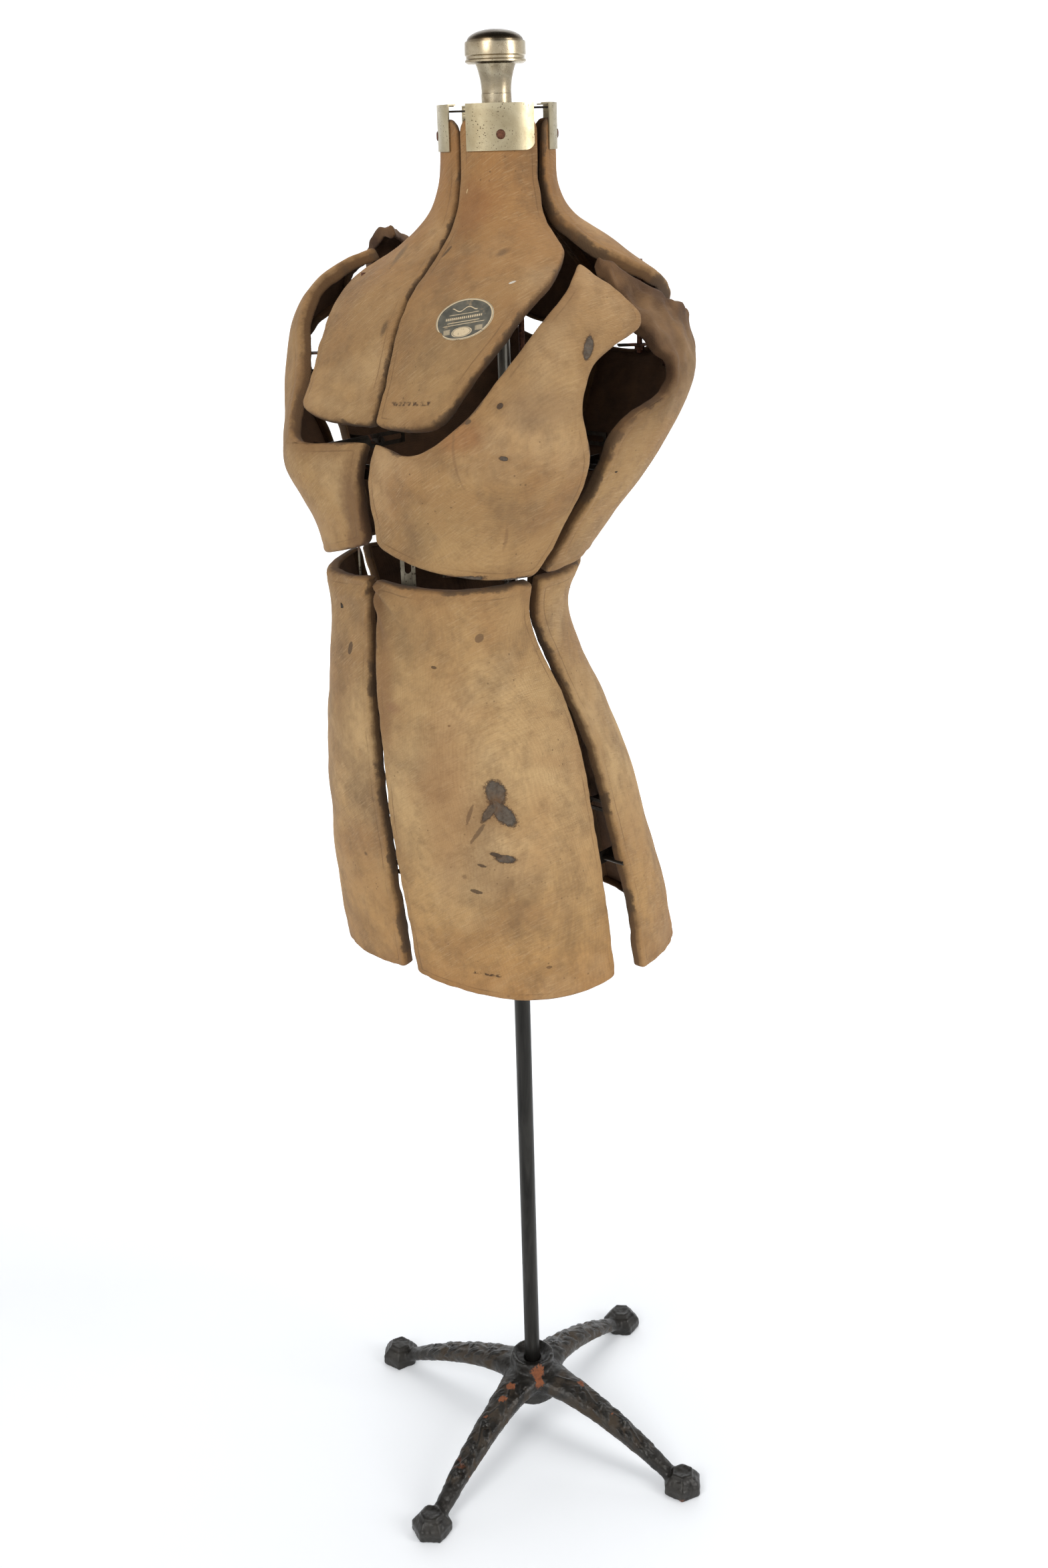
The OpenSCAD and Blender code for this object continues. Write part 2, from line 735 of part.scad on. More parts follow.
module thumb_screw() {
    color(NICKEL) {
        translate([rod_d / 2 + 0.4, 0, SCREW_Z]) rotate([0, 90, 0]) cylinder(d = 6, h = 16);
        translate([tube_d / 2 + 8, 0, SCREW_Z]) rotate([0, 90, 0]) cylinder(d = 10, h = 4);
        translate([tube_d / 2 + 11, -9, SCREW_Z - 2]) cube([12, 18, 4]);
    }
}

module riser_rod() {
    color("Silver") translate([0, 0, 480]) cylinder(d = rod_d, h = ARM_Z - 18 - 480);
}

STUD_D = 8;

module head_hub() {
    color(STEEL) difference() {
        union() {
            translate([0, 0, ARM_Z - 34]) cylinder(d = 30, h = 33.7);
            translate([0, 0, ARM_Z - 1]) cylinder(d = STUD_D, h = 42);
        }
        translate([0, 0, ARM_Z - 35]) cylinder(d = rod_d + 2 * FIT, h = 17.2);
    }
}

module clamp_washer() {
    color(NICKEL) difference() {
        translate([0, 0, ARM_Z + 7.1]) cylinder(d = 28, h = 1.9);
        translate([0, 0, ARM_Z + 6]) cylinder(d = STUD_D + 0.4, h = 5);
    }
}

FERRULE_Z = ARM_Z + 9.2;
FERRULE_H = 9;

module knob_ferrule() {
    color(NICKEL) difference() {
        translate([0, 0, FERRULE_Z]) cylinder(d = ferrule_d, h = FERRULE_H);
        translate([0, 0, FERRULE_Z - 1]) cylinder(d = STUD_D + 2 * FIT, h = FERRULE_H + 2);
    }
}

// The knob: a waisted neck, a bead, a band and a low dome.
module neck_knob() {
    z0 = FERRULE_Z + FERRULE_H;
    r = knob_d / 2;
    hole = STUD_D / 2 + FIT;
    rise = overall_h - z0;
    dome = [for (k = [0:8]) let (a = 90 * k / 8) [r * 0.93 * cos(a), rise - 10 + 10 * sin(a)]];
    neck = [for (k = [0:8]) let (t = k / 8) [mix(13, 17.5, t * t), (rise - 28) * t]];
    color(NICKEL) translate([0, 0, z0]) difference() {
        rotate_extrude($fn = 96) polygon(concat(
            [[0, 0]], neck,
            [[r * 0.9, rise - 28], [r, rise - 26.5], [r, rise - 25], [r * 0.96, rise - 24]],
            [[r * 0.96, rise - 22], [r, rise - 21], [r, rise - 11.5], [r * 0.98, rise - 10]],
            dome
        ));
        translate([0, 0, -1]) cylinder(r = hole, h = 24);
    }
}

// ---- Stand ----

// Height of the middle line of a leg at a distance from the post: an arch that
// leaves the hub nearly level and comes down steeply to the foot.
function arch(r) = mix(73, 13, pow(min(1, max(0, (r - 20) / (foot_r - 35))), 1.6));
// Thickness of a leg there.
function leg_depth(r) = mix(26, 14, max(0, (r - 20) / (foot_r - 20)));

module leg() {
    steps = 12;
    rs = [for (k = [0:steps]) mix(16, foot_r - 14, k / steps)];
    top = [for (r = rs) [r, arch(r) + leg_depth(r) / 2]];
    low = [for (k = [steps:-1:0]) [rs[k], arch(rs[k]) - leg_depth(rs[k]) / 2]];
    intersection() {
        rotate([90, 0, 0]) translate([0, 0, -20]) linear_extrude(40) polygon(concat(top, low));
        linear_extrude(120) polygon([
            [10, -15], [60, -13.5], [120, -12], [foot_r - 24, -9], [foot_r, -9],
            [foot_r, 9], [foot_r - 24, 9], [120, 12], [60, 13.5], [10, 15],
        ]);
    }
}

module foot() {
    tiers = [[1, foot_h * 0.55], [0.86, foot_h * 0.75], [0.66, foot_h * 0.9], [0.4, foot_h]];
    translate([foot_r, 0, 0])
        for (t = tiers)
            cylinder(d = foot_d * t[0], h = t[1], $fn = 6);
}

module base_casting() {
    color(IRON) rotate([0, 0, stand_turn]) difference() {
        union() {
            rotate_extrude($fn = 72) polygon([
                [0, 46], [27, 46], [30, 52], [30, 62], [27, 74], [hub_d / 2, 84],
                [hub_d / 2, hub_top], [hub_d / 2 - 4, hub_top],
                [tube_d / 2 + 5, hub_top - 6], [0, hub_top - 6],
            ]);
            for (a = [0:90:270])
                rotate([0, 0, a]) {
                    leg();
                    foot();
                }
        }
        translate([0, 0, 40]) cylinder(d = tube_d + 2 * FIT, h = 80);
        translate([0, 0, 40]) cylinder(d = tube_d + 16, h = 6.2);
    }
}

// ---- Nodes ----

base_casting();
post_tube();
post_lock_nut();
tube_collar();
thumb_screw();
riser_rod();
head_hub();
clamp_washer();
neck_knob();
knob_ferrule();
for (q = QUARTERS) {
    neck_panel(q);
    neck_plate(q);
    neck_rivets(q);
    neck_arm(q);
    bust_panel(q);
    bust_strips(q);
    bust_studs(q);
    waist_strip(q);
    hip_panel(q);
    hip_strip(q);
    hip_studs(q);
}
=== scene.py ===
import math

import bpy
import bmesh
import numpy as np
from mathutils import Matrix, Vector
from mathutils.kdtree import KDTree


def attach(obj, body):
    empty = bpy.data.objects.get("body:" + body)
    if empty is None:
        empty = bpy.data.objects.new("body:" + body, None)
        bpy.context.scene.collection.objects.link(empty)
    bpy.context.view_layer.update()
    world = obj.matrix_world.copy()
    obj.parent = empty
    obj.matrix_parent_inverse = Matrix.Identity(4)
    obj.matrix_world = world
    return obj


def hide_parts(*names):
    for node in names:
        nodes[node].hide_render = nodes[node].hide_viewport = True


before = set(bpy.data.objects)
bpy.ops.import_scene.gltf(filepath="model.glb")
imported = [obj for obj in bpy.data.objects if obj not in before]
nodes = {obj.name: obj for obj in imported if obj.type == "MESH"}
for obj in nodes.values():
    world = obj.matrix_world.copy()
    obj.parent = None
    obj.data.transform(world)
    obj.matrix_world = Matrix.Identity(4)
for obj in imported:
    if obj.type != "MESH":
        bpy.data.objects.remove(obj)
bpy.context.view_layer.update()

# -------- camera

# Where the camera stands, in metres and degrees round from the front, and how it is held
TURN = math.radians(42.0)
DISTANCE, HEIGHT = 1.573, 1.407
PITCH, YAW, ROLL = math.radians(20.97), math.radians(0.29), math.radians(1.53)
SENSOR, LENS = 36.0, 38.3468


def make_camera():
    x = Vector((math.cos(TURN), math.sin(TURN), 0))
    y = Vector((-math.sin(TURN), math.cos(TURN), 0))
    z = Vector((0, 0, 1))
    ahead = math.sin(YAW) * x + math.cos(YAW) * y
    side = math.cos(YAW) * x - math.sin(YAW) * y
    forward = math.cos(PITCH) * ahead - math.sin(PITCH) * z
    over = math.sin(PITCH) * ahead + math.cos(PITCH) * z
    right = math.cos(ROLL) * side - math.sin(ROLL) * over
    up = math.sin(ROLL) * side + math.cos(ROLL) * over
    cam = bpy.data.objects.new("camera", bpy.data.cameras.new("camera"))
    bpy.context.scene.collection.objects.link(cam)
    turned = Matrix((right, up, -forward)).transposed().to_4x4()
    place = Vector((DISTANCE * math.sin(TURN), -DISTANCE * math.cos(TURN), HEIGHT))
    cam.matrix_world = Matrix.Translation(place) @ turned
    cam.data.sensor_width, cam.data.lens = SENSOR, LENS
    cam.data.dof.use_dof = False
    cam.data.clip_end = 50
    bpy.context.scene.camera = cam


make_camera()


def add_object(name, mesh):
    """A new smooth object with this mesh in the scene."""
    mesh.polygons.foreach_set("use_smooth", np.ones(len(mesh.polygons), bool))
    mesh.update()
    ob = bpy.data.objects.new(name, mesh)
    bpy.context.scene.collection.objects.link(ob)
    return ob


def add_values(mesh, name, values):
    """A value for each point of a mesh, which its material reads by name."""
    kind, key = ("FLOAT_VECTOR", "vector") if values.ndim == 2 else ("FLOAT", "value")
    mesh.attributes.new(name, kind, "POINT").data.foreach_set(key, values.astype(np.float32).ravel())


# -------- the torso surface, in mm

# Height, half width, depth in front and behind, middle, and squareness of each level section
HIPS, WAIST, SHOULDERS, NECK = 165, 108, 184, 51
SECTIONS = np.array([
    [600, HIPS * 1.01, 147, 155, -12, 2.4],
    [690, HIPS * 0.98, 145, 150, -24, 2.4],
    [750, HIPS * 0.95, 142, 146, -36, 2.4],
    [840, HIPS * 0.87, 134, 140, -54, 2.3],
    [900, HIPS * 0.79, 122, 134, -70, 2.3],
    [960, WAIST * 1.06, 112, 122, -82, 2.2],
    [1010, WAIST, 106, 110, -84, 2.2],
    [1045, WAIST * 1.06, 112, 118, -78, 2.2],
    [1090, WAIST * 1.24, 122, 130, -64, 2.3],
    [1140, SHOULDERS * 0.89, 138, 140, -48, 2.5],
    [1185, SHOULDERS * 0.98, 138, 144, -30, 2.7],
    [1225, SHOULDERS, 134, 148, -18, 2.8],
    [1260, SHOULDERS * 0.97, 126, 148, -12, 2.8],
    [1290, SHOULDERS * 0.86, 110, 140, -8, 2.6],
    [1320, SHOULDERS * 0.61, 80, 110, -5, 2.2],
    [1345, 68, 62, 76, -2, 2],
    [1370, 54, 54, 54, 0, 2],
    [1400, NECK, NECK, NECK, 0, 2],
    [1450, NECK, NECK, NECK, 0, 2],
], float)
_after = np.minimum(np.arange(len(SECTIONS)) + 1, len(SECTIONS) - 1)
_before = np.maximum(np.arange(len(SECTIONS)) - 1, 0)
SLOPES = (SECTIONS[_after] - SECTIONS[_before]) / (SECTIONS[_after, :1] - SECTIONS[_before, :1])
WALL, TURN_IN = 3.0, 12.0

# Ribs of each panel from its foot to its top: the angle and height of the near end, the same of the far end,
# and how much the rib sags between them
NECK_FRONT = [
    [0, 1185, 26, 1197, -3], [0, 1205, 28, 1221, 0], [0, 1230, 33, 1251, 0],
    [0, 1258, 42, 1286, 0], [0, 1285, 57, 1309, 0], [0, 1315, 71, 1325, 0],
    [0, 1345, 82, 1349, 0], [0, 1376, 85, 1378, 0], [0, 1428, 85, 1428, 0],
]
NECK_BACK = [
    [0, 1235, 25, 1246, -3], [0, 1254, 31, 1266, 0], [0, 1276, 42, 1290, 0],
    [0, 1298, 60, 1309, 0], [0, 1320, 75, 1328, 0], [0, 1347, 82, 1350, 0],
    [0, 1376, 85, 1378, 0], [0, 1428, 85, 1428, 0],
]
BUST_FRONT = [
    [0, 1084, 79, 1055, -8], [0, 1112, 82, 1085, -6], [0, 1142, 81, 1112, -4],
    [0, 1170, 78, 1138, 0], [19, 1169, 73, 1160, 0], [27, 1178, 66, 1182, 0],
    [32, 1199, 61, 1206, 0], [36, 1230, 62, 1235, 0], [42, 1260, 70, 1250, 0],
    [49, 1281, 78, 1257, 0], [60, 1301, 84, 1263, 0], [71, 1314, 86, 1274, 0],
]
BUST_BACK = [
    [0, 1084, 96, 1055, -8], [0, 1120, 92, 1086, -6], [0, 1160, 92, 1118, -4],
    [0, 1196, 95, 1150, 0], [0, 1220, 98, 1172, 0], [20, 1221, 95, 1186, 0],
    [30, 1234, 87, 1198, 0], [35, 1250, 79, 1212, 0], [44, 1270, 76, 1236, 0],
    [58, 1288, 78, 1254, 0], [75, 1302, 82, 1268, 0], [94, 1317, 86, 1279, 0],
]
HIP_FRONT = [
    [0, 663, 80, 658, -8], [0, 700, 81, 696, -4], [0, 745, 83, 742, 0],
    [0, 792, 86, 790, 0], [0, 840, 90, 840, 0], [0, 890, 95, 890, 0],
    [0, 935, 97, 940, 0], [0, 978, 92, 980, 0], [0, 1020, 84, 1017, 0],
    [0, 1056, 79, 1050, -5],
]
HIP_BACK = [
    [0, 660, 85, 650, -6], [0, 696, 84, 692, -3], [0, 742, 83, 740, 0],
    [0, 790, 82, 790, 0], [0, 840, 80, 840, 0], [0, 888, 77, 888, 0],
    [0, 932, 77, 932, 0], [0, 976, 80, 976, 0], [0, 1018, 89, 1014, 0],
    [0, 1056, 95, 1050, -5],
]


def column(z, k):
    """Value k of the sections at heights z, on a smooth curve through them."""
    z = np.asarray(z, float)
    i = np.clip(np.searchsorted(SECTIONS[:, 0], z, side="right") - 1, 0, len(SECTIONS) - 2)
    z0, z1 = SECTIONS[i, 0], SECTIONS[i + 1, 0]
    h = z1 - z0
    t = (z - z0) / h
    t2, t3 = t * t, t * t * t
    return ((2 * t3 - 3 * t2 + 1) * SECTIONS[i, k] + (t3 - 2 * t2 + t) * h * SLOPES[i, k]
            + (3 * t2 - 2 * t3) * SECTIONS[i + 1, k] + (t3 - t2) * h * SLOPES[i + 1, k])


def bust(x, z, facing):
    """How far the bust stands out in front."""
    return (26 * np.exp(-((np.abs(x) - 78) / 52) ** 2 - ((z - 1168) / 52) ** 2)
            * np.clip(1.6 * facing, 0, 1))


def torso(angle, z, back):
    """Points of the torso's surface on the form's left, angles in degrees from its middle line."""
    angle, z = np.broadcast_arrays(np.asarray(angle, float), np.asarray(z, float))
    n = column(z, 5)
    s, c = np.sin(np.radians(angle)), np.cos(np.radians(angle))
    r = (np.abs(s) ** n + np.abs(c) ** n) ** (-1 / n)
    ahead = -c if back else c
    depth = np.where(ahead > 0, column(z, 2), column(z, 3))
    x = column(z, 1) * s * r
    y = column(z, 4) - depth * ahead * r - bust(x, z, ahead)
    return np.stack([x, y, z], -1)


def unit(v):
    return v / np.maximum(np.linalg.norm(v, axis=-1, keepdims=True), 1e-12)


def outward(angle, z, back):
    """Directions straight out of the torso's surface."""
    across = torso(angle + 1, z, back) - torso(angle - 1, z, back)
    up = torso(angle, z + 2, back) - torso(angle, z - 2, back)
    n = unit(np.cross(across, up))
    return -n if back else n


def rib_curve(ribs, t):
    """The ribs' five values at places t from 0 to 1, on a smooth curve through them."""
    r = np.array(ribs, float)
    last = len(r) - 1
    i = np.clip(np.floor(t * last).astype(int), 0, last - 1)
    u = (t * last - i)[:, None]
    a, b, c, d = r[np.maximum(i - 1, 0)], r[i], r[i + 1], r[np.minimum(i + 2, last)]
    return b + 0.5 * u * (c - a + u * (2 * a - 5 * b + 4 * c - d + u * (3 * (b - c) + d - a)))


def edge_angle(z, gap):
    """The angle at which a gap at the middle line ends."""
    return np.degrees(np.arctan(gap / 2 / column(z, 1)))


def blur(v, width):
    """v smoothed along its length, with its ends kept."""
    k = np.exp(-np.linspace(-2, 2, 2 * width + 1) ** 2)
    k /= k.sum()
    first, final = 2 * v[0] - v[1:width + 1][::-1], 2 * v[-1] - v[-width - 1:-1][::-1]
    return np.convolve(np.concatenate([first, v, final]), k, "valid")


# -------- seeded waves for hand-made surfaces

def waves(seed, length, count=28):
    """Directions and phases of waves about this many mm long."""
    rng = np.random.default_rng(seed)
    d = rng.normal(size=(count, 3))
    d /= np.linalg.norm(d, axis=1, keepdims=True)
    k = d * (2 * np.pi / (length * rng.uniform(0.7, 1.6, (count, 1))))
    return k, rng.uniform(0, 2 * np.pi, count)


def wavy(points, table):
    k, phase = table
    return np.sin(points @ k.T + phase).sum(-1) / math.sqrt(len(phase) / 2)


# Worn places of the front left hip: where, how wide and how deep, in mm
WORN = (((110, -150, 854), 17, -0.9), ((112, -149, 803), 12, -0.8), ((93, -161, 770), 9, -0.6))
FAR_IN = 30.0  # an edge distance for points that no edge reaches
BROAD, MIDDLE, FINE = waves(3, 110), waves(5, 42), waves(7, 16)
CRUMPLE_A, CRUMPLE_B = waves(11, 26, 16), waves(13, 15, 16)


def near(points, spot, reach):
    """1 at a place, falling to 0 at a distance of about twice the reach."""
    d = np.linalg.norm(points - np.array(spot, float), axis=-1) / reach
    return np.exp(-d * d)


def relief(points, edge, q, part):
    """How far the skin of a panel stands out at points of its own left-hand copy."""
    seat = 1 - np.clip((points[..., 2] - 1375) / 20, 0, 1)
    own = points * np.array([-1 if "right" in q else 1, 1, 1])
    h = 0.75 * wavy(own, BROAD) + 0.28 * wavy(own, MIDDLE) + 0.06 * wavy(own, FINE)
    # The cloth is drawn over the edge, with a faint line where it ends underneath
    h = h - 0.28 * np.exp(-((edge - 7.5) / 1.3) ** 2) + 0.2 * np.exp(-((edge - 11) / 2.5) ** 2)
    # Puckers across the edges
    pull = np.exp(-(edge / 7) ** 2)
    h = h + 0.35 * pull * np.clip(wavy(own, CRUMPLE_B), -1.2, 1.2)
    if part == "bust" and "back" in q:
        # The worn shoulders behind have gone soft and lie in folds
        soft = np.clip((points[..., 2] - 1215) / 50, 0, 1) * np.clip(1.25 - edge / 42, 0, 1)
        fold = np.sin(wavy(own, CRUMPLE_A) * 1.1 + own[..., 2] / 17)
        h = h + soft * (2.2 * fold + 0.45 * wavy(own, CRUMPLE_B))
    if part == "hip" and "front" in q:
        # Cloth gathered at the waist's inner corners
        spot = near(points, (14, -188, 1040), 42)
        a = np.arctan2(points[..., 2] - 1056, points[..., 0] + 4)
        h = h + 2.0 * spot * np.sin(a * 13 + own[..., 0] / 9)
    if part == "hip" and q == "front_left":
        for place, wide, deep in WORN:
            h = h + deep * near(points, place, wide)
        h = h + 0.35 * near(points, (104, -155, 812), 46) * wavy(own, CRUMPLE_B)
    return np.clip(h, -3.2, 3.2) * seat


def step(v, a, b):
    """0 at a and 1 at b, with a smooth rise between them."""
    t = np.clip((v - a) / (b - a), 0, 1)
    return t * t * (3 - 2 * t)


# Small moves that set a panel off from its mirror image. Panel, quarter, axis of the move, and the move in mm
# on the panel's left-hand copy; then the stretches, each an axis and two places, between which it grows
X, Y, Z = 0, 1, 2
MOVES = [
    ("hip", "front_left", X, 4.5, (Z, 850, 650), (X, 70, 8)),
    ("hip", "front_left", Y, 3, (Z, 900, 1000), (Y, -70, -15)),
    ("hip", "back_left", Y, -3, (Z, 900, 1000), (Y, 70, 15)),
    ("hip", "front_right", X, -7, (X, 70, 8)),
    ("hip", "front_right", Y, 4, (Z, 900, 1000), (X, 80, 15)),
    ("bust", "front_left", X, 2.5, (X, 60, 8), (Z, 1130, 1090)),
    ("bust", "front_right", X, -6, (X, 70, 8)),
    ("bust", "front_right", Z, 9, (Z, 1215, 1290)),
    ("bust", "front_right", X, 17, (X, 95, 155), (Z, 1150, 1250)),
    ("bust", "front_right", X, -15, (Z, 1205, 1265), (X, 130, 80)),
    ("bust", "back_right", Z, 28, (Z, 1185, 1300)),
    ("bust", "back_right", X, 14, (Z, 1185, 1300), (X, 60, 150)),
    ("bust", "back_left", Z, -26, (Z, 1180, 1270), (X, 112, 165)),
    ("bust", "back_left", Z, 5, (Z, 1230, 1290)),
    ("bust", "back_left", X, -4, (Z, 1180, 1260), (X, 110, 165)),
    ("neck", "front_right", X, -6, (X, 30, 95), (Z, 1215, 1270), (Z, 1360, 1330)),
    ("neck", "front_right", Y, 4, (X, 30, 95), (Z, 1215, 1270), (Z, 1360, 1330)),
    ("neck", "back_left", X, -3, (X, 60, 130), (Z, 1200, 1270)),
    ("neck", "back_left", Z, -5, (X, 60, 130), (Z, 1200, 1270)),
]


def hand_made(p, q, part):
    """The moves of one panel at points of its left-hand copy."""
    move = np.zeros_like(p)
    for own_part, own_quarter, axis, far, *stretches in MOVES:
        if (own_part, own_quarter) == (part, q):
            for along, start, end in stretches:
                far = far * step(p[..., along], start, end)
            move[..., axis] += far
    return move


# -------- panels

BAND = np.array([0, 0.5, 1.2, 2.1, 3.2, 4.6, 6.2, 7.6, 9.2, 11.5])
# The turned-in edge: share of its depth, and how far in under the skin. Its last three are the way back
EDGE_PROFILE = ((0.35, 0.0), (0.7, 0.15), (0.93, 0.45), (1.0, 1.2), (1.0, 2.2), (0.93, 2.9), (0.6, 3.1),
                (0.25, 3.4))
BACK_FROM, LINING_IN, ROUND = 2.5, 4.2, 4.0


def edge_band(corner):
    """Distances from an edge of the grid's first rows, out to the end of the rounded corner."""
    return np.append(BAND[BAND < corner], corner)


def grid_places(across, tall, n_s, n_t, corner, inset):
    """s and t of a grid with rounded corners, from the width in mm at each row and the height."""
    band = edge_band(corner)

    def line(n):
        return np.concatenate([band / corner, np.linspace(1, 2, n)[1:-1], 3 - band[::-1] / corner])

    a, b = np.meshgrid(line(n_s), line(n_t))

    def near_far(v):
        """Distance from the near end in corner lengths, and whether the far end is the near one."""
        far = v > 1.5
        return np.where(far, 3 - v, v), far

    da, fa = near_far(a)
    db, fb = near_far(b)
    in_corner = (da <= 1) & (db <= 1)
    u, v = 1 - np.minimum(da, 1), 1 - np.minimum(db, 1)
    ru = np.where(in_corner, 1 - u * np.sqrt(1 - v * v / 2), da)
    rv = np.where(in_corner, 1 - v * np.sqrt(1 - u * u / 2), db)

    def shift(r):
        """The grid moved in from the edges by the inset."""
        return np.where(r <= 1, (inset + r * (corner - inset)) / corner, r)

    ru, rv = shift(ru), shift(rv)
    share_s, share_t = corner / across[:, None], corner / tall

    def back_to(r, far, share):
        s = np.where(r <= 1, r * share, share + (r - 1) * (1 - 2 * share))
        return np.where(far, 1 - s, s)

    # In the middle the places count from the first end
    s = np.where(da <= 1, back_to(ru, fa, share_s), share_s + (a - 1) * (1 - 2 * share_s))
    t = np.where(db <= 1, back_to(rv, fb, share_t), share_t + (b - 1) * (1 - 2 * share_t))
    return s, t


def panel_piece(name, ribs, gap, q, part, n_s, n_t, corner, deep_top):
    """One panel: the skin, its rounded and turned-in edge, and the skin inside, as one closed mesh."""
    back, right = "back" in q, "right" in q
    fine = np.linspace(0, 1, 601)
    r = rib_curve(ribs, fine)
    start = np.maximum(r[:, 0], edge_angle(r[:, 1], gap))
    e0 = blur(start, 5)
    z0 = blur(r[:, 1], 5)
    e1, z1, sag = r[:, 2], r[:, 3], r[:, 4]

    def at(s, t):
        """Points and directions of the skin at places s along a rib and t up the ribs."""
        f = lambda c: np.interp(t, fine, c)
        a = (1 - s) * f(e0) + s * f(e1)
        z = (1 - s) * f(z0) + s * f(z1) + 4 * s * (1 - s) * f(sag)
        return torso(a, z, back), outward(a, z, back)

    # Sizes for the spacing of the grid
    rows = np.linspace(0, 1, 41)
    s_line = np.linspace(0, 1, 25)
    sheet = at(*np.meshgrid(s_line, rows))[0]
    across_rows = np.linalg.norm(np.diff(sheet, axis=1), axis=2).sum(1)
    tall = np.linalg.norm(np.diff(sheet, axis=0), axis=2).sum(0).mean()

    def place_grid(inset):
        # A row is at nearly the same t all along, so the width there is taken
        band = edge_band(corner) / tall
        middle = np.linspace(band[-1], 1 - band[-1], n_t)[1:-1]
        row_t = np.concatenate([band, middle, 1 - band[::-1]])
        across = np.interp(row_t, rows, across_rows)
        return grid_places(across, tall, n_s, n_t, corner, inset)

    s, t = place_grid(0)
    P, N = at(s, t)
    ny, nx = s.shape
    ring = ([(0, i) for i in range(nx)] + [(j, nx - 1) for j in range(1, ny)]
            + [(ny - 1, i) for i in range(nx - 2, -1, -1)] + [(j, 0) for j in range(ny - 2, 0, -1)])
    rj, ri = np.array(ring).T
    B, BN, Bt = P[rj, ri], N[rj, ri], t[rj, ri]

    # Distance of every point from the edge
    share = np.array([0, 0.25, 0.5, 0.75])[:, None]
    close = (B[:, None] * (1 - share) + np.roll(B, -1, 0)[:, None] * share).reshape(-1, 3)
    tree = KDTree(len(close))
    for k, point in enumerate(close):
        tree.insert(point, k)
    tree.balance()

    found = [tree.find(p) for p in P.reshape(-1, 3)]
    d = np.array([f[2] for f in found]).reshape(s.shape)
    near_k = np.array([f[1] // len(share) for f in found]).reshape(s.shape)

    # Depth of the turned-in edge, less at the top of a neck panel
    lip = np.full(len(B), TURN_IN) if deep_top else (
        WALL + (TURN_IN - WALL) * np.clip(5 * (1 - Bt), 0, 1))
    lip = np.maximum(lip, WALL + 0.5)
    round_k = np.minimum(ROUND, lip * 0.42)

    rho = round_k[near_k]
    inside = np.clip(rho - d, 0, None)
    sink = rho - np.sqrt(np.maximum(rho ** 2 - np.minimum(inside, rho) ** 2, 0))
    h = relief(P, d, q, part)
    P = P + hand_made(P, q, part)
    B = P[rj, ri]
    outer = P + N * (h - sink)[..., None]
    hB = h[rj, ri]
    # Distance from the edge on the skin, below -1 on the turned-in edge and -30 inside
    edge_attr = [d.ravel()]

    # Inward direction along the surface at the edge
    T = unit(np.roll(B, -1, 0) - np.roll(B, 1, 0))
    M = unit(np.cross(BN, T))
    step_in = P[np.clip(rj, 1, ny - 2), np.clip(ri, 1, nx - 2)] - B
    flip = np.sign((M * step_in).sum(1))
    flip[flip == 0] = 1
    M = M * flip[:, None]
    for _ in range(3):
        M = unit(M + np.roll(M, 1, 0) + np.roll(M, -1, 0))

    # Cross-section of the turned-in edge: depth and how far in
    rings = []
    wob = 0.35 * np.sin(np.arange(len(B)) * 0.37) * np.sin(np.arange(len(B)) * 0.113)
    for depth, far in EDGE_PROFILE:
        top = round_k if far < BACK_FROM else WALL
        deep = top + (lip - top) * depth + wob * depth
        rings.append(B + BN * (hB - deep)[:, None] + M * far)
        edge_attr.append(-1 - 12 * depth * np.ones(len(B)) - (3 if far > 2 else 0))
    si, ti = place_grid(LINING_IN)
    IP, IN = at(si, ti)
    IP_h = relief(IP, np.full(si.shape, FAR_IN), q, part)
    inner = IP + hand_made(IP, q, part) + IN * (IP_h - WALL)[..., None]
    edge_attr.append(np.full(inner.shape[0] * inner.shape[1], -FAR_IN))

    verts = [outer.reshape(-1, 3)] + rings + [inner.reshape(-1, 3)]
    offset, at_v = [], 0
    for v in verts:
        offset.append(at_v)
        at_v += len(v)
    co = np.concatenate(verts)
    faces = []
    idx = np.arange(ny * nx).reshape(ny, nx)
    quad = np.stack([idx[:-1, :-1], idx[:-1, 1:], idx[1:, 1:], idx[1:, :-1]], -1).reshape(-1, 4)
    faces.append(quad)
    faces.append(quad[:, ::-1] + offset[-1])
    loops = [idx[rj, ri]] + [np.arange(len(B)) + o for o in offset[1:-1]] + [idx[rj, ri] + offset[-1]]
    for a, b in zip(loops[:-1], loops[1:]):
        faces.append(np.stack([a, b, np.roll(b, -1), np.roll(a, -1)], -1))
    faces = np.concatenate(faces)
    if back != right:
        faces = faces[:, ::-1]
    if right:
        co = co * np.array([-1, 1, 1])
    me = bpy.data.meshes.new(name)
    me.from_pydata((co / 1000).tolist(), [], faces.tolist())
    add_values(me, "edge_mm", np.concatenate(edge_attr))
    me.validate()
    return add_object(name, me)


# -------- node helpers

TREE = None


def add_nodes_to(tree):
    """The helpers below add their nodes to this tree from now on."""
    global TREE
    TREE = tree


def new_material(name):
    m = bpy.data.materials.new(name)
    m.use_nodes = True
    m.node_tree.nodes.clear()
    add_nodes_to(m.node_tree)
    return m


def node(kind, props=None, **inputs):
    n = TREE.nodes.new(kind)
    for k, v in (props or {}).items():
        setattr(n, k, v)
    put_all(n, **inputs)
    return n


def put_all(n, **inputs):
    for k, v in inputs.items():
        put(n, k, v)


def put(n, k, v):
    """A link or a value for an input, by its name or, as i0, i1 and on, by its number."""
    key = int(k[1:]) if k[0] == "i" and k[1:].isdigit() else k.replace("_", " ")
    socket = n.inputs[key]
    if isinstance(v, bpy.types.NodeSocket):
        TREE.links.new(v, socket)
    else:
        socket.default_value = v


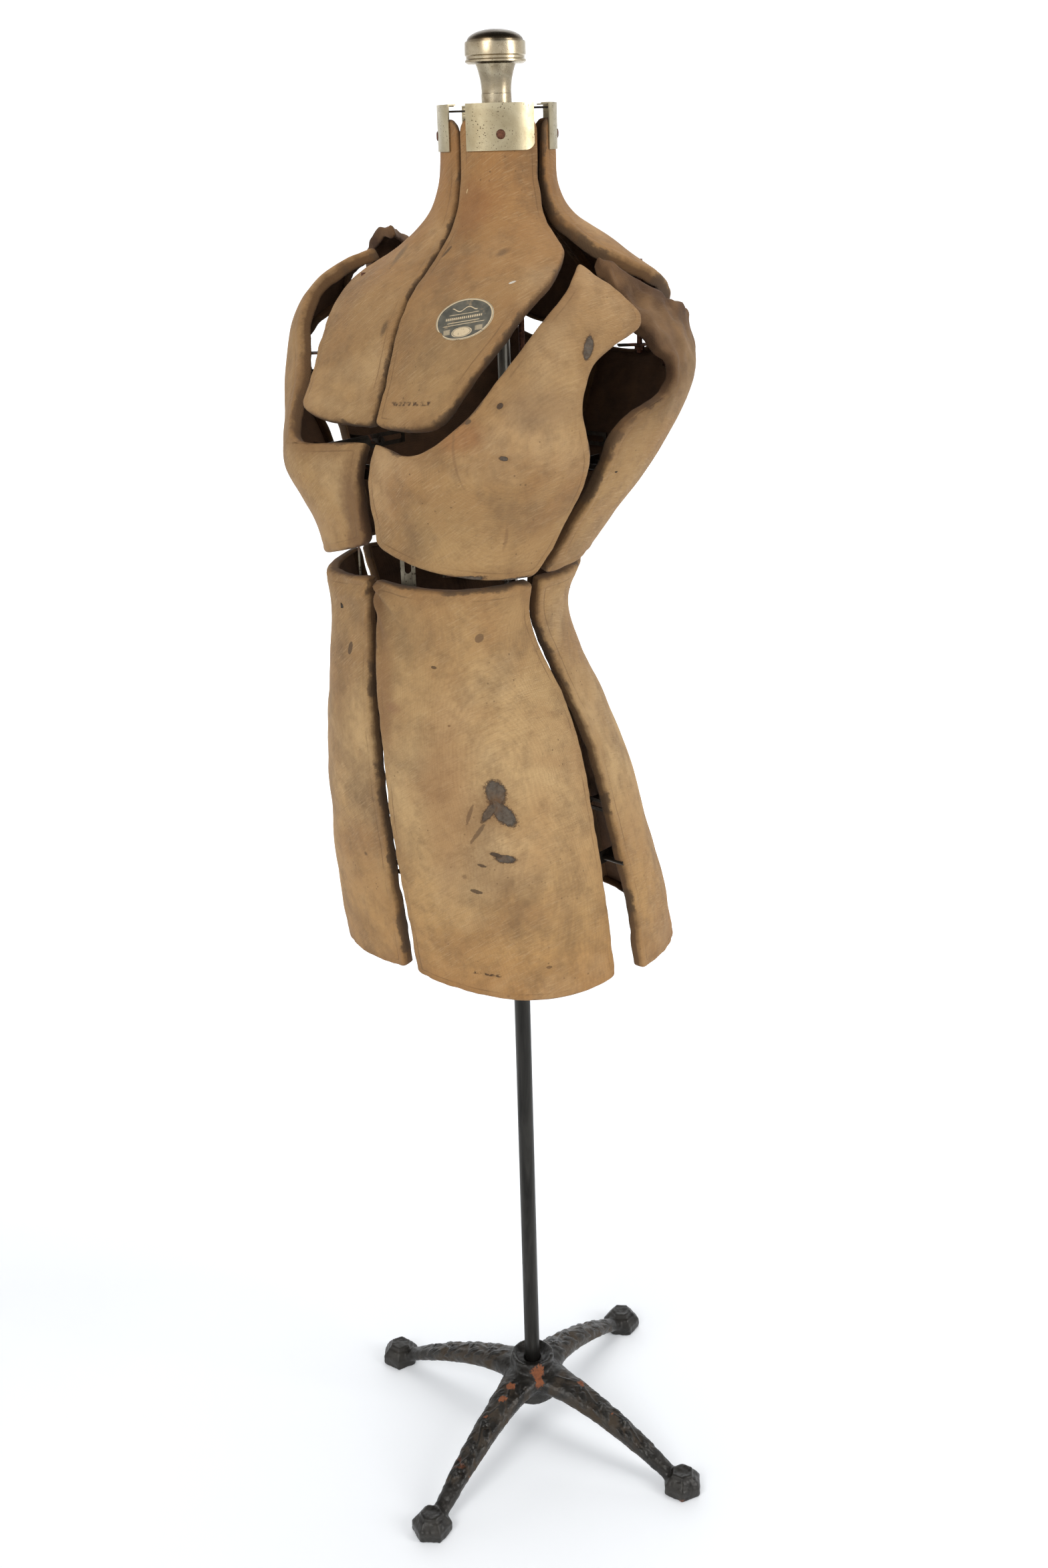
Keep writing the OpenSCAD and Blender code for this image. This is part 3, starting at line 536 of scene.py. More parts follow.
def maths(op, a, b=0.0, clamp=False):
    n = TREE.nodes.new("ShaderNodeMath")
    n.operation, n.use_clamp = op, clamp
    put(n, "i0", a)
    put(n, "i1", b)
    return n.outputs[0]


def plus(a, b):
    return maths("ADD", a, b)


def minus(a, b):
    return maths("SUBTRACT", a, b)


def times(a, b):
    return maths("MULTIPLY", a, b)


def most(a, b):
    return maths("MAXIMUM", a, b)


def swing(value, far):
    """A value around a half turned into one around 0 that goes far/2 each way."""
    return times(minus(value, 0.5), far)


def remap(v, a, b, c=0.0, d=1.0):
    """v carried from the range a to b over to the range c to d, and kept inside it."""
    n = TREE.nodes.new("ShaderNodeMapRange")
    for i, x in enumerate((v, a, b, c, d)):
        put(n, f"i{i}", x)
    return n.outputs[0]


def mixed(share, a, b):
    n = TREE.nodes.new("ShaderNodeMix")
    n.data_type = "RGBA"
    put(n, "i0", share)
    put(n, "i6", a)
    put(n, "i7", b)
    return n.outputs[2]


def over(share, colour, r, g, b):
    """A colour with another laid over it."""
    return mixed(share, colour, srgb(r, g, b))


def ramp(v, *stops):
    """Colours with their places from 0 to 1."""
    n = TREE.nodes.new("ShaderNodeValToRGB")
    put(n, "i0", v)
    e = n.color_ramp.elements
    while len(e) < len(stops):
        e.new(0.5)
    for x, (at, colour) in zip(e, stops):
        x.position = at
        x.color = colour
    return n.outputs[0]


def srgb(r, g, b):
    f = lambda c: c / 12.92 if c <= 0.04045 else ((c + 0.055) / 1.055) ** 2.4
    return (f(r / 255), f(g / 255), f(b / 255), 1)


def object_place(scale=(1, 1, 1), turn=(0, 0, 0), move=(0, 0, 0)):
    c = TREE.nodes.new("ShaderNodeTexCoord").outputs["Object"]
    m = node("ShaderNodeMapping", Vector=c, Scale=scale, Rotation=turn, Location=move)
    return m.outputs[0]


def noisy(vector, scale, detail=3.0, rough=0.5, warp=0.0):
    n = node("ShaderNodeTexNoise", Vector=vector, Scale=scale, Detail=detail, Roughness=rough,
             Distortion=warp)
    return n.outputs["Fac"]


def cells(vector, scale):
    return node("ShaderNodeTexVoronoi", Vector=vector, Scale=scale).outputs["Distance"]


def bumped(height, metres, strength=1.0, normal=None):
    n = node("ShaderNodeBump", Height=height, Strength=strength, Distance=metres)
    if normal is not None:
        TREE.links.new(normal, n.inputs["Normal"])
    return n.outputs[0]


def surface(**values):
    b = node("ShaderNodeBsdfPrincipled", **values)
    o = TREE.nodes.new("ShaderNodeOutputMaterial")
    TREE.links.new(b.outputs[0], o.inputs[0])


# -------- jersey

def slanted(turn, scale, move=(0, 0, 0)):
    """Places for streaks: turned first and stretched after, so that the streaks lie at a slant."""
    return node("ShaderNodeMapping", Vector=object_place(turn=turn), Scale=scale,
                Location=move).outputs[0]


ENDLESS = 1000.0


def oval_place(place, at, size, tilt):
    """Places counted in an oval's half widths from its middle, in metres: the oval lies at (x, z) seen from
    the front, or at (None, y, z) seen from the side."""
    m = node("ShaderNodeMapping", Vector=place)
    m.vector_type = "TEXTURE"
    if at[0] is None:
        put_all(m, Location=(0, at[1], at[2]), Rotation=(math.radians(-tilt), 0, 0),
                Scale=(ENDLESS, size[0], size[1]))
    else:
        put_all(m, Location=(at[0], 0, at[1]), Rotation=(0, math.radians(tilt), 0),
                Scale=(size[0], ENDLESS, size[1]))
    return m.outputs[0]


def spot_mask(place, at, size, tilt, ragged, seed, soft=0.0):
    """A ragged oval, 1 inside, with a sharp or a soft edge."""
    oval = oval_place(place, at, size, tilt)
    far = node("ShaderNodeVectorMath", {"operation": "LENGTH"}, i0=oval).outputs["Value"]
    wild = noisy(place, 210 + seed * 17, 6, 0.75)
    v = plus(far, swing(wild, ragged))
    return remap(v, 1.08 + soft, 0.92 - soft)


def jersey(name, spots=(), stitches=(), brown=0.0, seed=0):
    """Old jersey over moulded board. Spots are worn or stained places, stitches are rows of thread ends
    as (x from, x to, z, tilt), and brown is how dark the shoulder has gone."""
    m = new_material(name)
    place = object_place()
    moved = object_place(move=(seed * 1.7, seed * 0.9, seed * 1.3))
    split = node("ShaderNodeSeparateXYZ", Vector=place)
    height = split.outputs["Z"]
    edge = node("ShaderNodeAttribute", {"attribute_name": "edge_mm"}).outputs["Fac"]

    # Ground colour: orange brown at the neck, greyer at the bust, light on the hips
    level = plus(remap(height, 0.64, 1.44), swing(noisy(moved, 5, 3), 0.14))
    ground = ramp(level,
                  (0.0, srgb(172, 128, 78)), (0.10, srgb(180, 141, 90)),
                  (0.28, srgb(188, 156, 110)), (0.45, srgb(170, 137, 92)),
                  (0.62, srgb(164, 131, 86)), (0.78, srgb(152, 120, 80)),
                  (0.88, srgb(154, 115, 71)), (1.0, srgb(156, 112, 66)))
    # Broad clouds of yellowing and of grey dirt
    cloud = noisy(moved, 9, 5, 0.62, 0.5)
    colour = mixed(remap(cloud, 0.42, 0.68, 0, 0.6), ground, srgb(140, 98, 56))
    dirt = noisy(object_place(scale=(1, 1, 0.7), move=(3.1 + seed, 1, 2)), 14, 6, 0.7)
    colour = over(remap(dirt, 0.47, 0.70, 0, 0.66), colour, 104, 82, 58)
    pale = noisy(object_place(move=(7 + seed, 4, 1)), 8, 4, 0.6)
    colour = over(remap(pale, 0.52, 0.78, 0, 0.5), colour, 206, 176, 132)
    grime_dots = noisy(moved, 55, 5, 0.7)
    colour = over(remap(grime_dots, 0.48, 0.70, 0, 0.42), colour, 108, 82, 54)
    # Rubbed threads and short scratches that rise to one side, thick in some places
    streak_a = noisy(slanted((0.05, -0.08, 0), (30, 30, 300)), 1.0, 4, 0.6)
    colour = over(remap(streak_a, 0.48, 0.72, 0, 0.06), colour, 118, 88, 56)
    rubbed = remap(noisy(moved, 11, 4, 0.6), 0.38, 0.62, 0.25, 1.0)
    pale_scratch = noisy(slanted((0, 0.66, 0.2), (80, 80, 1300)), 1.0, 4, 0.6)
    pale_scratch = times(rubbed, remap(pale_scratch, 0.52, 0.68, 0, 0.26))
    colour = over(pale_scratch, colour, 210, 182, 140)
    dark_scratch = noisy(slanted((0.1, 0.58, 0), (70, 70, 1100), (1, 2, 3)), 1.0, 4, 0.6)
    dark_scratch = times(rubbed, remap(dark_scratch, 0.52, 0.68, 0, 0.30))
    colour = over(dark_scratch, colour, 112, 84, 54)
    thread = noisy(object_place(scale=(900, 900, 90), turn=(0, 0.2, 0)), 1.0, 2, 0.5)
    colour = over(remap(thread, 0.45, 0.7, 0, 0.10), colour, 110, 82, 54)
    # Stains: small and dark, and larger and soft
    speck = cells(moved, 26)
    few = noisy(moved, 6, 2)
    mark = times(remap(speck, 0.085, 0.05), remap(few, 0.50, 0.56))
    colour = over(times(mark, 0.65), colour, 74, 56, 42)
    fleck = times(remap(cells(moved, 130), 0.14, 0.08),
                  remap(noisy(moved, 17, 2), 0.5, 0.62))
    colour = over(times(fleck, 0.6), colour, 84, 62, 42)
    # Wear and grime along the edges, with painted shade on the turned-in wall and in a soft band near the
    # edges
    ragged = plus(edge, swing(noisy(moved, 60, 5, 0.7), 12))
    # Soft darker band near the edges: edge grime and painted shade where the panels meet
    soft_rim = remap(plus(edge, times(noisy(moved, 12, 4), 30)), 30, 10)
    colour = over(times(soft_rim, 0.40), colour, 120, 84, 48)
    # Dark brown turned-in wall: painted shade, with some grime
    rim = remap(ragged, 2.0, -2.5)
    colour = over(times(rim, 0.72), colour, 80, 54, 32)
    worn = times(remap(ragged, 2.2, 0.6), remap(noisy(moved, 24, 4), 0.50, 0.56))
    colour = over(times(worn, 0.8), colour, 80, 62, 44)
    # A line of thread where the cloth is turned under
    seam = times(remap(maths("ABSOLUTE", minus(edge, 7.6)), 0.9, 0.2),
                 remap(noisy(moved, 18, 3), 0.45, 0.6))
    colour = over(times(seam, 0.45), colour, 84, 58, 36)
    if brown:
        grime = times(remap(height, 1.15, 1.23),
                      remap(plus(edge, times(noisy(moved, 25, 5, 0.65), 60)), 105, 30))
        shade = mixed(remap(noisy(moved, 40, 4), 0.4, 0.65), srgb(58, 36, 22), srgb(104, 76, 50))
        colour = mixed(times(grime, brown), colour, shade)
    bare = None
    for k, (at, size, tilt, wild, shade, amount) in enumerate(spots):
        mask = spot_mask(place, at, size, tilt, wild, k, 0.0 if amount > 0.65 else 0.35)
        if amount > 0.8:
            halo = spot_mask(place, at, (size[0] * 1.9, size[1] * 1.5), tilt, wild * 2, k + 3, 0.5)
            colour = over(times(halo, 0.36), colour, 112, 80, 48)
            torn = spot_mask(place, at, (size[0] * 1.22, size[1] * 1.14), tilt, wild * 1.6, k + 5)
            colour = over(times(torn, 0.75), colour, 76, 54, 36)
            shade = mixed(remap(noisy(place, 260, 4), 0.35, 0.7), shade, srgb(60, 54, 48))
        colour = mixed(times(mask, amount), colour, shade)
        if amount > 0.8:
            bare = mask if bare is None else most(bare, mask)
    for (x0, x1, z, tilt) in stitches:
        row = oval_place(place, ((x0 + x1) / 2, z), ((x1 - x0) / 2, 0.0018), tilt)
        part = node("ShaderNodeSeparateXYZ", Vector=row)
        ox = remap(maths("ABSOLUTE", part.outputs["X"]), 1.02, 0.95)
        oz = remap(maths("ABSOLUTE", part.outputs["Z"]), 1.1, 0.6)
        holes = remap(noisy(place, 260, 3), 0.45, 0.6)
        row = times(times(ox, oz), holes)
        colour = over(times(row, 0.9), colour, 54, 36, 24)
    # Inside: dark brown board
    board = ramp(noisy(moved, 35, 5, 0.6), (0.3, srgb(48, 31, 20)), (0.7, srgb(82, 56, 36)))
    inner = remap(plus(edge, times(noisy(moved, 80, 3), 3)), -12.0, -15.0)
    colour = mixed(inner, colour, board)

    # Fine knit, slubs and fuzz in the height
    knit_v = node("ShaderNodeTexWave", {"wave_type": "BANDS", "bands_direction": "X"},
                  Vector=object_place(turn=(0, 0.03, 0.6)), Scale=260.0, Distortion=3.0, Detail=2.0)
    knit_h = node("ShaderNodeTexWave", {"wave_type": "BANDS", "bands_direction": "Z"},
                  Vector=object_place(turn=(0.02, 0.05, 0)), Scale=300.0, Distortion=4.0, Detail=2.0)
    fuzz = noisy(place, 900, 3, 0.6)
    weave = plus(times(knit_v.outputs["Fac"], knit_h.outputs["Fac"]), times(fuzz, 0.8))
    normal = bumped(weave, 0.00022, 0.55)
    normal = bumped(streak_a, 0.0004, 0.15, normal)
    lumps = noisy(moved, 75, 4, 0.55)
    normal = bumped(lumps, 0.0007, 0.35, normal)
    if bare is not None:
        hollow = times(bare, plus(0.7, times(noisy(place, 240, 3), 0.6)))
        normal = bumped(hollow, -0.0010, 0.9, normal)
    tone = over(remap(weave, 0.2, 1.3, 0.0, 0.22), colour, 120, 92, 62)
    rough = remap(cloud, 0.3, 0.8, 0.88, 0.72)
    surface(Base_Color=tone, Roughness=rough, Normal=normal, Sheen_Weight=0.03,
            Sheen_Roughness=0.5, Specular_IOR_Level=0.28)
    return m


GREY = srgb(88, 82, 74)
DARK = srgb(56, 42, 32)
RUST_STAIN = srgb(140, 84, 46)
# Worn and stained places: where, size, tilt in degrees, raggedness, colour and strength
HIP_SPOTS = (
    ((0.108, 0.786), (0.022, 0.016), 30, 1.8, srgb(116, 86, 56), 0.40),
    ((0.098, 0.836), (0.013, 0.032), 6, 1.8, srgb(112, 84, 56), 0.42),
    ((0.1085, 0.866), (0.0056, 0.0120), -6, 0.9, GREY, 0.95),
    ((0.1125, 0.846), (0.0048, 0.0130), -26, 1.0, GREY, 0.95),
    ((0.1040, 0.848), (0.0028, 0.0090), 24, 1.2, srgb(92, 78, 64), 0.9),
    ((0.1145, 0.8020), (0.0066, 0.0036), 12, 0.9, GREY, 0.95),
    ((0.1080, 0.8060), (0.0040, 0.0018), 30, 1.0, DARK, 0.85),
    ((0.0980, 0.7960), (0.0036, 0.0014), 20, 1.4, DARK, 0.80),
    ((0.0930, 0.7700), (0.0052, 0.0020), 14, 1.6, DARK, 0.80),
    ((0.0960, 0.8280), (0.0016, 0.0110), 30, 1.4, srgb(84, 64, 46), 0.7),
    ((0.0910, 0.8460), (0.0014, 0.0100), 16, 1.4, srgb(84, 64, 46), 0.7),
    ((0.0920, 1.0060), (0.0022, 0.0042), 10, 0.6, srgb(96, 72, 50), 0.75),
    ((0.0650, 0.9820), (0.0020, 0.0013), 20, 0.9, srgb(58, 42, 30), 0.8),
    ((0.1380, 0.6880), (0.0016, 0.0016), 0, 0.5, srgb(86, 60, 38), 0.7),
    ((0.0780, 0.9300), (0.0011, 0.0011), 0, 0.5, srgb(86, 60, 38), 0.7),
    ((0.0140, 1.0250), (0.0060, 0.0340), -6, 1.6, srgb(104, 74, 46), 0.60),
    ((0.0200, 0.9500), (0.0080, 0.0500), 4, 1.2, srgb(132, 96, 62), 0.50),
    ((0.0720, 0.8600), (0.0200, 0.0900), 3, 1.0, srgb(146, 106, 68), 0.45),
    ((0.0290, 0.9420), (0.0060, 0.0050), 0, 1.2, srgb(132, 96, 70), 0.50),
)
BUST_SPOTS = (
    ((0.106, 1.184), (0.014, 0.011), 0, 0.9, RUST_STAIN, 0.32),
    ((0.150, 1.205), (0.020, 0.016), 10, 1.5, srgb(116, 92, 68), 0.35),
    ((0.126, 1.208), (0.0018, 0.0022), 0, 0.5, DARK, 0.82),
    ((0.134, 1.167), (0.0024, 0.0017), 24, 0.7, GREY, 0.9),
    ((0.107, 1.196), (0.0022, 0.0018), -20, 0.6, srgb(74, 60, 48), 0.8),
    ((0.097, 1.199), (0.0018, 0.0026), 0, 0.6, srgb(86, 66, 48), 0.7),
    ((None, -0.083, 1.250), (0.0030, 0.0095), 28, 0.9, GREY, 0.9),
    ((0.086, 1.060), (0.013, 0.0026), -4, 1.2, GREY, 0.84),
    ((0.108, 1.055), (0.008, 0.0022), -10, 1.2, GREY, 0.82),
    ((0.104, 1.170), (0.0009, 0.0250), -12, 0.5, srgb(120, 90, 60), 0.55),
    ((0.118, 1.096), (0.0008, 0.0110), 20, 0.5, srgb(120, 90, 60), 0.55),
)
NECK_SPOTS = (
    ((0.067, 1.322), (0.0036, 0.0030), 0, 0.9, srgb(92, 72, 54), 0.6),
    ((0.011, 1.370), (0.0006, 0.0020), 12, 0.2, srgb(220, 196, 146), 0.8),
    ((0.020, 1.356), (0.016, 0.020), 0, 1.5, srgb(128, 80, 42), 0.5),
    ((0.095, 1.300), (0.0024, 0.0010), -20, 0.9, srgb(204, 200, 188), 0.8),
    ((0.012, 1.322), (0.0014, 0.0050), 26, 0.9, DARK, 0.7),
)

clean = jersey("jersey_cover", seed=2)
# Ribs and gaps at the middle in front and behind, corner radius, full-depth top edge, points across and up
PANELS = {
    "neck": (NECK_FRONT, NECK_BACK, (2.4, 2.4), 12, False, 38, 76),
    "bust": (BUST_FRONT, BUST_BACK, (18, 22), 9.5, True, 70, 84),
    "hip": (HIP_FRONT, HIP_BACK, (18, 22), 8, True, 70, 118),
}
JERSEYS = {
    ("hip", "front_left"): jersey("jersey_hip_front_left", HIP_SPOTS, [(0.078, 0.104, 0.680, 2)], seed=1),
    ("bust", "front_left"): jersey("jersey_bust_front_left", BUST_SPOTS, seed=3),
    ("neck", "front_left"): jersey("jersey_neck_front_left", NECK_SPOTS, [(0.017, 0.068, 1.206, -5)], seed=4),
    ("neck", "front_right"): jersey("jersey_neck_front_right", (
        ((-0.048, 1.318), (0.0045, 0.008), 10, 0.9, srgb(96, 80, 62), 0.6),
        ((-0.013, 1.262), (0.0030, 0.006), 10, 0.7, DARK, 0.6),), seed=5),
    ("hip", "front_right"): jersey("jersey_hip_front_right", (
        ((-0.029, 0.986), (0.0030, 0.0065), 20, 0.6, DARK, 0.75),
        ((-0.034, 0.780), (0.0022, 0.0018), 0, 0.4, DARK, 0.6),), seed=6),
    ("bust", "front_right"): jersey("jersey_bust_front_right", (
        ((-0.010, 1.100), (0.012, 0.060), 0, 1.2, srgb(88, 58, 36), 0.62),
        ((-0.060, 1.180), (0.030, 0.020), 10, 1.4, srgb(112, 80, 50), 0.50),
        ((-0.105, 1.200), (0.016, 0.060), -8, 1.4, srgb(110, 80, 52), 0.45),
        ((-0.120, 1.130), (0.0040, 0.0060), 20, 0.9, srgb(90, 76, 58), 0.60),), seed=10),
    ("bust", "back_left"): jersey("jersey_bust_back_left", brown=0.9, seed=8),
    ("bust", "back_right"): jersey("jersey_bust_back_right", brown=0.95, seed=9),
}
QUARTERS = ("front_left", "front_right", "back_left", "back_right")
for q in QUARTERS:
    for part, (front, behind, gap, corner, deep_top, n_s, n_t) in PANELS.items():
        ob = panel_piece(f"jersey_{part}_{q}", behind if "back" in q else front, gap["back" in q],
                         q, part, n_s, n_t, corner, deep_top)
        ob.data.materials.append(JERSEYS.get((part, q), clean))
        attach(ob, f"{part}_{q}")
        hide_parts(f"{part}_panel_{q}")

# -------- metals

def metal(name, dark, light, rough, seed=0, metallic=1.0, pits=0.0, pit_colour=None, bump=0.00012,
          rust=0.0, streak=(1, 1, 1), cloud=30.0, browned=None):
    """Clouded metal, with pits, rust and a crown darkened by patina and painted dark reflection, where they
    are given.
    """
    m = new_material(name)
    p = object_place(scale=streak, move=(seed * 0.37, seed * 0.61, seed * 0.23))
    clouds = noisy(p, cloud, 5, 0.6, 0.6)
    colour = ramp(clouds, (0.32, dark), (0.68, light))
    r = remap(clouds, 0.3, 0.7, rough[1], rough[0])
    height = noisy(p, cloud * 9, 4, 0.6)
    if pits:
        spots = times(remap(cells(p, pits), 0.26, 0.16),
                      remap(noisy(p, pits * 0.13, 3), 0.42, 0.6))
        small = times(remap(cells(p, pits * 2.7), 0.24, 0.14),
                      remap(noisy(p, pits * 0.2, 2), 0.45, 0.62))
        spots = most(spots, times(small, 0.8))
        colour = mixed(times(spots, 0.85), colour, pit_colour)
        r = maths("ADD", r, times(spots, 0.3), True)
        height = minus(height, spots)
    if browned:
        # Patina and painted dark reflection darken the crown above this height; the band below keeps its
        # colour
        z = node("ShaderNodeSeparateXYZ", Vector=object_place()).outputs["Z"]
        crown = remap(plus(z, times(noisy(p, 60, 3), 0.003)), browned, browned + 0.002)
        colour = over(times(crown, 0.85), colour, 92, 76, 56)
    metal_share = metallic
    if rust:
        wide = remap(noisy(p, 17, 5, 0.65, 0.8), 0.62 - rust * 0.1, 0.70 - rust * 0.1)
        tint = ramp(noisy(p, 120, 4, 0.7), (0.3, srgb(96, 52, 30)), (0.7, srgb(160, 92, 52)))
        colour = mixed(wide, colour, tint)
        r = most(r, times(wide, 0.85))
        metal_share = remap(wide, 0, 1, metallic, 0.0)
    normal = bumped(height, bump, 0.5)
    surface(Base_Color=colour, Metallic=metal_share, Roughness=r, Normal=normal)
    return m


nickel = metal("nickel_patina", srgb(158, 144, 114), srgb(194, 182, 152), (0.28, 0.42), 1,
               pits=420, pit_colour=srgb(70, 54, 38), bump=0.0001)
# The knob's crown is darkened: nickel patina and painted dark reflection
knob_nickel = metal("nickel_knob", srgb(150, 134, 108), srgb(196, 184, 158), (0.20, 0.34), 2,
                    pits=700, pit_colour=srgb(98, 80, 58), bump=0.00006, cloud=45, browned=1.4905)
strip_nickel = metal("nickel_strip", srgb(96, 88, 74), srgb(158, 150, 132), (0.34, 0.55), 3,
                     pits=240, pit_colour=srgb(50, 40, 30), rust=0.25)
dark_steel = metal("steel_dark", srgb(38, 32, 27), srgb(84, 76, 66), (0.38, 0.6), 4,
                   metallic=0.85, rust=0.35, cloud=40)
bright_steel = metal("steel_bright", srgb(120, 116, 106), srgb(176, 172, 162), (0.22, 0.4), 5,
                     streak=(1, 1, 0.12), cloud=60)
black_steel = metal("steel_black", srgb(30, 29, 27), srgb(66, 64, 60), (0.30, 0.5), 6,
                    metallic=0.75, streak=(1, 1, 0.08), cloud=70)
copper = metal("copper_rivet", srgb(70, 44, 32), srgb(116, 74, 54), (0.45, 0.65), 7,
               metallic=0.7, cloud=300)

MATERIALS = {
    "neck_plate": (nickel, "nickel", 0.35), "neck_knob": (knob_nickel, "nickel", 0.3),
    "knob_ferrule": (knob_nickel, "nickel", 0.5), "clamp_washer": (nickel, "nickel", 0.3),
    "thumb_screw": (nickel, "nickel", 0.5), "waist_strip": (strip_nickel, "strip_nickel", 0.25),
    "neck_arm": (dark_steel, "dark_steel", 0.25), "bust_strips": (dark_steel, "dark_steel", 0.25),
    "hip_strip": (dark_steel, "dark_steel", 0.25), "bust_studs": (dark_steel, "dark_steel", 0.25),
    "hip_studs": (dark_steel, "dark_steel", 0.25), "head_hub": (dark_steel, "dark_steel", 0.5),
    "riser_rod": (bright_steel, "bright_steel", 0.4), "post_tube": (black_steel, "black_steel", 0.4),
    "post_lock_nut": (black_steel, "black_steel", 0.5), "tube_collar": (black_steel, "black_steel", 0.6),
    "neck_rivets": (copper, "copper", 0.3),
}
for name, ob in nodes.items():
    stem = next((k for k in MATERIALS if name.startswith(k)), None)
    if stem is None:
        continue
    material, slot, bevel = MATERIALS[stem]
    ob.data.materials.clear()
    ob.data.materials.append(material)
    if "custom_normal" in ob.data.attributes:
        ob.data.attributes.remove(ob.data.attributes["custom_normal"])
    ob.data.polygons.foreach_set("use_smooth", np.ones(len(ob.data.polygons), bool))
    w = ob.modifiers.new("weld", "WELD")
    w.merge_threshold = 0.00001
    b = ob.modifiers.new("bevel", "BEVEL")
    b.width, b.segments = bevel / 1000, 3
    b.limit_method, b.angle_limit = "ANGLE", math.radians(35)
    b.harden_normals = True

# -------- cast stand

STAND_TURN = 7
FOOT_R, FOOT_D, FOOT_H = 199.0, 45.0, 25.0
HUB_D, HUB_TOP, TUBE_D = 49.0, 99.0, 17.0
LEG_START, ARCH_TOP, ARCH_END, DEEP_TOP, DEEP_END = 20, 73, 13, 26, 14
LEG_AT = [14, 30, 50, 80, 120, 160, 175, 199]
LEG_HALVES = [25, 21.5, 18, 15.5, 13.5, 10.8, 9.8, 9.2]
VOXEL = 1.15


def arch(r):
    """Height of a leg's middle at a distance r from the post, in mm, as are the next two."""
    u = np.clip((np.asarray(r, float) - LEG_START) / (FOOT_R - 35), 0, 1) ** 1.6
    return ARCH_TOP * (1 - u) + ARCH_END * u


def leg_depth(r):
    u = np.clip((np.asarray(r, float) - LEG_START) / (FOOT_R - LEG_START), 0, 1)
    return DEEP_TOP * (1 - u) + DEEP_END * u


def leg_half(r):
    return np.interp(r, LEG_AT, LEG_HALVES)


def joined(bm, loops, closed=False):
    """Faces between loops of points that follow each other, and over both ends unless they close."""
    count = len(loops[0])
    for a, b in zip(loops, loops[1:] + (loops[:1] if closed else [])):
        for i in range(count):
            j = (i + 1) % count
            bm.faces.new((a[i], a[j], b[j], b[i]))
    if not closed:
        bm.faces.new(loops[0][::-1])
        bm.faces.new(loops[-1])


def hub_shell(bm):
    bore, rim, sides = TUBE_D / 2 + 0.7, HUB_D / 2, 72
    outline = [(bore, 46.5), (bore + 0.5, 46), (26.5, 46), (29, 48.5), (30, 52), (30, 62), (28.2, 70),
               (26, 78), (rim, 85), (rim, 97.2), (rim - 0.6, 98.6), (rim - 2, HUB_TOP),
               (rim - 4, HUB_TOP - 0.3), (rim - 7, HUB_TOP - 3), (rim - 11, HUB_TOP - 5.6),
               (bore + 0.8, HUB_TOP - 6), (bore, HUB_TOP - 6.8)]
    angles = np.linspace(0, 2 * math.pi, sides, endpoint=False)
    joined(bm, [[bm.verts.new((r * math.cos(a), r * math.sin(a), z)) for a in angles]
                for r, z in outline], closed=True)


def leg_shell(bm, turn):
    rs = np.linspace(14, FOOT_R - 6, 60)
    loops = []
    for r in rs:
        w, d, z = leg_half(r), leg_depth(r) / 2, arch(r)
        loop = []
        for a in np.linspace(0, 2 * math.pi, 28, endpoint=False):
            c, s = math.sin(a), math.cos(a)
            k = (abs(c) ** 2.4 + abs(s) ** 2.4) ** (-1 / 2.4)
            y, h = w * c * k, d * s * k
            loop.append(bm.verts.new(Matrix.Rotation(turn, 3, "Z") @ Vector((r, y, max(z + h, 1.0)))))
        loops.append(loop)
    joined(bm, loops)


def foot_shell(bm, turn):
    half = FOOT_D / 2
    tiers = [(half * 0.96, 0), (half, 1.5), (half, 12), (half * 0.72, 19.5), (half * 0.60, 20.5),
             (half * 0.56, FOOT_H - 1), (half * 0.48, FOOT_H), (half * 0.34, FOOT_H - 0.8)]
    loops = []
    spin = Matrix.Rotation(turn, 3, "Z")
    for r, z in tiers:
        loops.append([bm.verts.new(spin @ Vector((FOOT_R + r * math.cos(a), r * math.sin(a), z)))
                      for a in np.linspace(0, 2 * math.pi, 6, endpoint=False)])
    joined(bm, loops)


def leaf(x, y, cx, cy, angle, long, wide, high):
    c, s = math.cos(angle), math.sin(angle)
    u, v = ((x - cx) * c + (y - cy) * s) / long, (-(x - cx) * s + (y - cy) * c) / wide
    body = np.clip(1 - u * u - (v * (1 + 0.5 * u)) ** 2, 0, 1) ** 0.6
    vein = np.exp(-(v / 0.16) ** 2) * 0.35 + 0.16 * np.abs(np.sin(u * 9 + np.abs(v) * 5))
    return high * body * (1 - vein)


def rosette(x, y, cx, cy, size, high, petals=5):
    u, v = (x - cx) / size, (y - cy) / size
    r, a = np.sqrt(u * u + v * v), np.arctan2(v, u)
    rim = 0.72 + 0.28 * np.abs(np.cos(a * petals / 2))
    flower = np.clip(1 - (r / rim) ** 3, 0, 1) * (0.55 + 0.45 * np.abs(np.cos(a * petals / 2)))
    heart = np.exp(-(r / 0.22) ** 2) * 0.8 - np.exp(-((r - 0.34) / 0.09) ** 2) * 0.3
    return high * (flower + heart * (r < 0.6))


def leg_relief(x, y):
    """Cast flowers and leaves. x runs along a leg and y round it, in mm."""
    h = np.zeros_like(x)
    vine = 5.0 * np.sin(x / 9.5)
    h = np.maximum(h, 1.1 * np.exp(-((y - vine) / 1.7) ** 2))
    for k in range(9):
        cx = 40 + 15.5 * k
        side = 1 if k % 2 else -1
        h = np.maximum(h, leaf(x, y, cx, side * 8.5, side * 0.7, 8.5, 4.6, 1.7))
        h = np.maximum(h, leaf(x, y, cx + 6, -side * 12.5, -side * 0.4, 7.5, 4.0, 1.4))
        h = np.maximum(h, leaf(x, y, cx + 4, side * 18, side * 0.5, 7.0, 4.2, 1.2))
    for k in range(5):
        side = 1 if k % 2 else -1
        h = np.maximum(h, rosette(x, y, 47 + 29 * k, side * 1.5, 7.2, 1.8))
    return h


